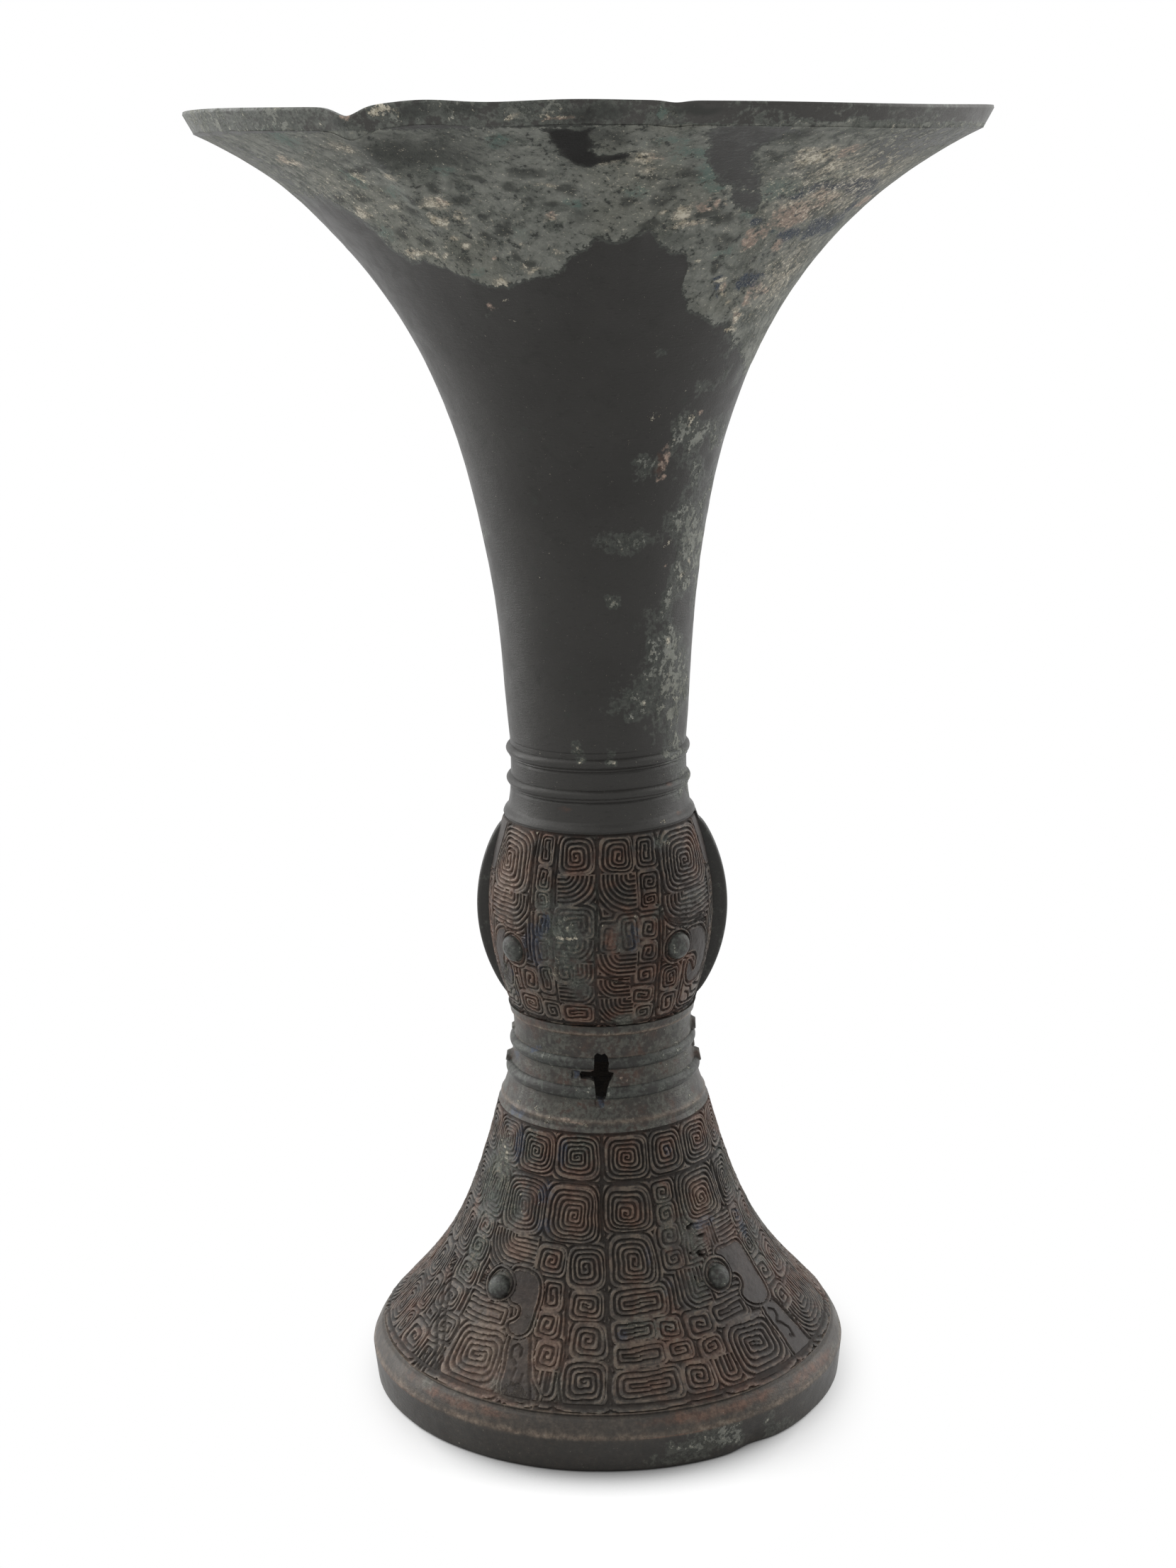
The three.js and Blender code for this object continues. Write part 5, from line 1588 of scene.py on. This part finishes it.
def relief_panel(name, node, side, span, mask, seed, material):
    """A cast panel between two angles, with its relief as real lines and its patina painted on."""
    columns, rows, inner_columns, inner_rows = mask["counts"]
    curve = mask["curve"]
    spread = np.linspace(curve[0, 1], curve[-1, 1], 800)
    pace = np.cumsum(np.gradient(length_at(curve, spread)) / radius_at(curve, spread))
    heights = np.interp(np.linspace(pace[0], pace[-1], rows), pace, spread)
    angle, radius, height = grid(np.linspace(*span, columns), heights, radius_at(curve, heights))
    back = side == "back"
    turn, shift = (180.0, BACK_SHIFT) if back else (0.0, 0.0)
    field = draw_mask(mask, angle, height, seed)
    points = flat_points(angle + turn, radius, height)

    def painted(layer_name):
        return spots(angle + shift, height, mask[layer_name])

    worn = np.clip(painted("wear") * (0.55 + 0.9 * clouds(points, 4.0, seed + 7, 2)), 0.0, 0.92)
    relief = field.relief + (0.45 + 0.7 * clouds(points, 1.4, seed + 8, 3) - field.relief) * worn
    relief = relief * (0.8 + 0.4 * clouds(points, 1.1, seed + 9, 2))
    for middle, level, wide, tall in [] if back else mask["pits"]:
        away = ((angle - middle) / wide) ** 2 + ((height - level) / tall) ** 2
        relief = relief - 2.2 * np.exp(-(away ** 2))
    sunk = radius - mask["depth"] * (1.0 - relief)
    outer = placed(angle + turn, uneven(angle + turn, sunk, height, seed, 0.1, 0.02), height)
    inner = placed(*inside_grid(curve, np.linspace(*span, inner_columns) + turn, inner_rows))
    piece = shell(name, outer, inner, wrap=False)

    def whole(values, inner_value=0.0):
        return np.concatenate([np.ravel(values), np.full(inner_columns * inner_rows, inner_value)])

    green = painted("green") * (0.5 + 0.9 * clouds(points, 5.0, seed + 12, 3))
    thin = 0.34 * clouds(points, 8.0, seed + 13, 3)
    red = 0.44 + 0.6 * (clouds(points, 12.0, seed + 14, 2) - 0.42)
    red = np.maximum(red, 0.95 * painted("red"))
    tan = painted("tan") * (0.5 + clouds(points, 6.0, seed + 15, 3))
    nothing = np.zeros_like(angle)
    extra = {
        "height": whole(np.clip(relief, -0.6, 1.1), 1.0),
        "cream": whole(painted("cream")),
        "blue": whole(painted("blue")),
        "pink": whole(nothing),
        "tan": whole(tan),
        "teal": whole(nothing),
        "dark": whole(1.2 * field.smooth_place + 0.62 * painted("dark")),
        # Painted shade: the casting pits, sunk below the grooves, are painted black
        "black": whole(np.clip(-0.8 - relief, 0.0, 1.0)),
    }
    paint(piece, extra, red=whole(red), green=whole(np.maximum(green, thin)))
    stands_for(piece, "relief_bronze", material, node)


# Where the foot's two halves meet
NOSE_ANGLE = -1.8


def make_panels(material):
    for side, seed in (("front", 200), ("back", 300)):
        name, node = f"bulb_relief_{side}", f"bulb_panel_{side}"
        relief_panel(name, node, side, (-89.6, 89.6), BULB_MASK, seed, material)
        for half, span in (("left", (-90.0, NOSE_ANGLE)), ("right", (NOSE_ANGLE, 90.0))):
            name, node = f"foot_relief_{side}_{half}", f"foot_panel_{side}"
            relief_panel(name, node, side, span, FOOT_MASK, seed + 50, material)


# Eyes, flanges and the floor of the cup

LEFT_EYE_DROP = 0.85
EYE_PROUD = 1.6
EYE_RINGS = 26
EYE_SPOKES = 64


def normal_at(curve, height):
    """Which way a tier's wall faces at a height, as (outward, upward)."""
    slope = np.gradient(curve[:, 0], curve[:, 1])
    tilt = math.atan(np.interp(height, curve[:, 1], slope))
    return math.cos(tilt), -math.sin(tilt)


def make_eye(node, curve, size, seed, material):
    """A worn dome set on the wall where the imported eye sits, the left ones in front a little lower."""
    low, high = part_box(node)
    middle = (low + high) / 2.0 / MM
    if node.endswith("front_left"):
        middle.z -= LEFT_EYE_DROP
    turn = math.atan2(middle.x, -middle.y)
    outward, upward = normal_at(curve, middle.z)
    level = middle.z - upward * EYE_PROUD / 4.0
    radius = float(radius_at(curve, level))
    out = np.array([math.sin(turn) * outward, -math.cos(turn) * outward, upward])
    side = np.array([math.cos(turn), math.sin(turn), 0.0])
    rise = np.cross(side, out)
    centre = np.array([math.sin(turn) * radius, -math.cos(turn) * radius, level])
    quarter = np.linspace(0.0, 1.0, EYE_RINGS)[1:] * math.pi / 2.0
    reach = np.append(size * np.sin(quarter) ** 0.9, [size, size])
    lift = np.append(EYE_PROUD * np.cos(quarter) ** 0.85, [-0.4, -0.75])
    spokes = np.linspace(0.0, 2.0 * math.pi, EYE_SPOKES, endpoint=False)
    flat = np.outer(np.cos(spokes), side) + np.outer(np.sin(spokes), rise)
    dome = np.array([centre + r * flat + up * out for r, up in zip(reach, lift)])
    dent = 0.16 * (clouds(dome, 1.8, seed, 3) - 0.5) + 0.1 * (clouds(dome, 0.6, seed + 3, 2) - 0.5)
    dome[:-2] += dent[:-2, :, None] * out
    points = np.concatenate([[centre + EYE_PROUD * out], dome.reshape(-1, 3)])
    faces = [[0, 1 + (j + 1) % EYE_SPOKES, 1 + j] for j in range(EYE_SPOKES)]
    faces += quads(1, len(dome), EYE_SPOKES, EYE_SPOKES)
    faces.append(list(range(len(points) - EYE_SPOKES, len(points))))
    piece = mesh_object(f"{node}_dome", points * MM, faces)
    piece.data.validate()
    paint(piece, red=0.35, green=0.62 * clouds(points, 3.0, seed + 6, 2))
    stands_for(piece, "eye_bronze", material, node)


def make_eyes(material):
    for tier, curve, size in (("bulb", BULB_OUTLINE, 2.75), ("foot", FOOT_OUTLINE, 2.5)):
        for number, (panel_side, eye_side) in enumerate(product(("front", "back"), ("left", "right"))):
            make_eye(f"{tier}_eye_{panel_side}_{eye_side}", curve, size, 400 + 10 * number, material)


FLANGE_PROUD = 2.8
FLANGE_HALF = 1.3
# How far both flanges sit to the right of the tier's middle
FLANGE_SHIFT = 0.35


def make_flange(node, side, seed, material):
    """An upright fin with softly rounded edges, slightly wavy where the mould's joint ran."""
    low_level, high_level = BULB_BOTTOM + 1.2, COLLAR_BOTTOM - 1.8
    heights = np.linspace(BULB_BOTTOM + 0.15, COLLAR_BOTTOM - 0.15, 130)
    share = np.clip((heights - low_level) / (high_level - low_level), 0.0, 1.0)
    proud = FLANGE_PROUD * np.sqrt(np.sin(math.pi * share))
    wall = radius_at(BULB_OUTLINE, heights)
    edges = [(-1.0, wall - 1.2)]
    for step in np.linspace(-1.0, 1.0, 13):
        bulge = math.sqrt(max(0.0, 1.0 - abs(step) ** 3.0))
        edges.append((step, wall + proud - 0.02 - 0.9 * (1.0 - bulge) * np.clip(proud, 0.0, 1.0)))
    edges.append((1.0, wall - 1.2))
    points = np.stack([
        np.stack([reach, np.full_like(heights, FLANGE_HALF * step), heights], 1) for step, reach in edges
    ], axis=1)
    wave = 0.25 * (clouds(points, 9.0, seed, 2) - 0.5) + 0.1 * (clouds(points, 2.0, seed + 4, 2) - 0.5)
    points[:, :, 1] += wave * np.sign(points[:, :, 1] + 1e-6)
    points[:, :, :2] *= side
    points[:, :, 0] += FLANGE_SHIFT
    rows, count = points.shape[:2]
    points = points.reshape(-1, 3)
    faces = quads(0, rows, count, count)
    faces.append(list(range(count))[::-1])
    faces.append(list(range(len(points) - count, len(points))))
    piece = mesh_object(f"{node}_cast", points * MM, faces)
    paint(piece, red=0.25, green=0.06 + 0.26 * clouds(points, 5.0, seed + 9, 3))
    stands_for(piece, "flange_bronze", material, node)


def make_cup_floor(material):
    """The floor inside the waist that closes the cup, a little dished and pitted."""
    low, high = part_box("vessel_floor")
    steps = np.concatenate([[0.02], np.linspace(0.05, 1.0, 30)])
    angle, share = np.meshgrid(around(96), steps[::-1])
    reach = high.x / MM * share
    flat = flat_points(angle, reach, np.zeros_like(reach))
    dish = -0.5 * (1.0 - share ** 2) + 0.25 * (clouds(flat, 4.0, 500, 3) - 0.5) * smooth(1.0, 0.8, share)
    top = flat_points(angle, reach, high.z / MM - 0.15 + dish)
    under = flat_points(angle, reach, np.full_like(reach, low.z / MM))
    points = np.concatenate([top.reshape(-1, 3), under.reshape(-1, 3)]) * MM
    rows, columns = reach.shape
    start = rows * columns
    faces = quads(0, rows, columns, columns) + quads(start, rows, columns, columns, inward=True)
    for j in range(columns):
        k = (j + 1) % columns
        faces.append([j, start + j, start + k, k])
    faces.append(list(range(start - columns, start)))
    faces.append(list(range(2 * start - columns, 2 * start))[::-1])
    piece = mesh_object("vessel_floor_cast", points, faces)
    paint(piece, green=np.full(len(points), 0.5))
    stands_for(piece, "inner_bronze", material, "vessel_floor")


make_camera()
make_world()
make_floor()
make_lamps()
bpy.context.scene.view_settings.view_transform = "Standard"

plain = aged_bronze("aged_bronze")
lip_metal = aged_bronze("aged_bronze_lip", lift=1.75)
relief_metal = aged_bronze("aged_bronze_relief", relief=True)

make_trumpet(plain)
make_lip(lip_metal)
make_collar(plain)
make_waist(plain)
make_ridges(plain)
make_foot_rim(plain)
make_panels(relief_metal)
make_eyes(plain)
make_flange("bulb_flange_right", 1.0, 450, plain)
make_flange("bulb_flange_left", -1.0, 460, plain)
make_cup_floor(plain)
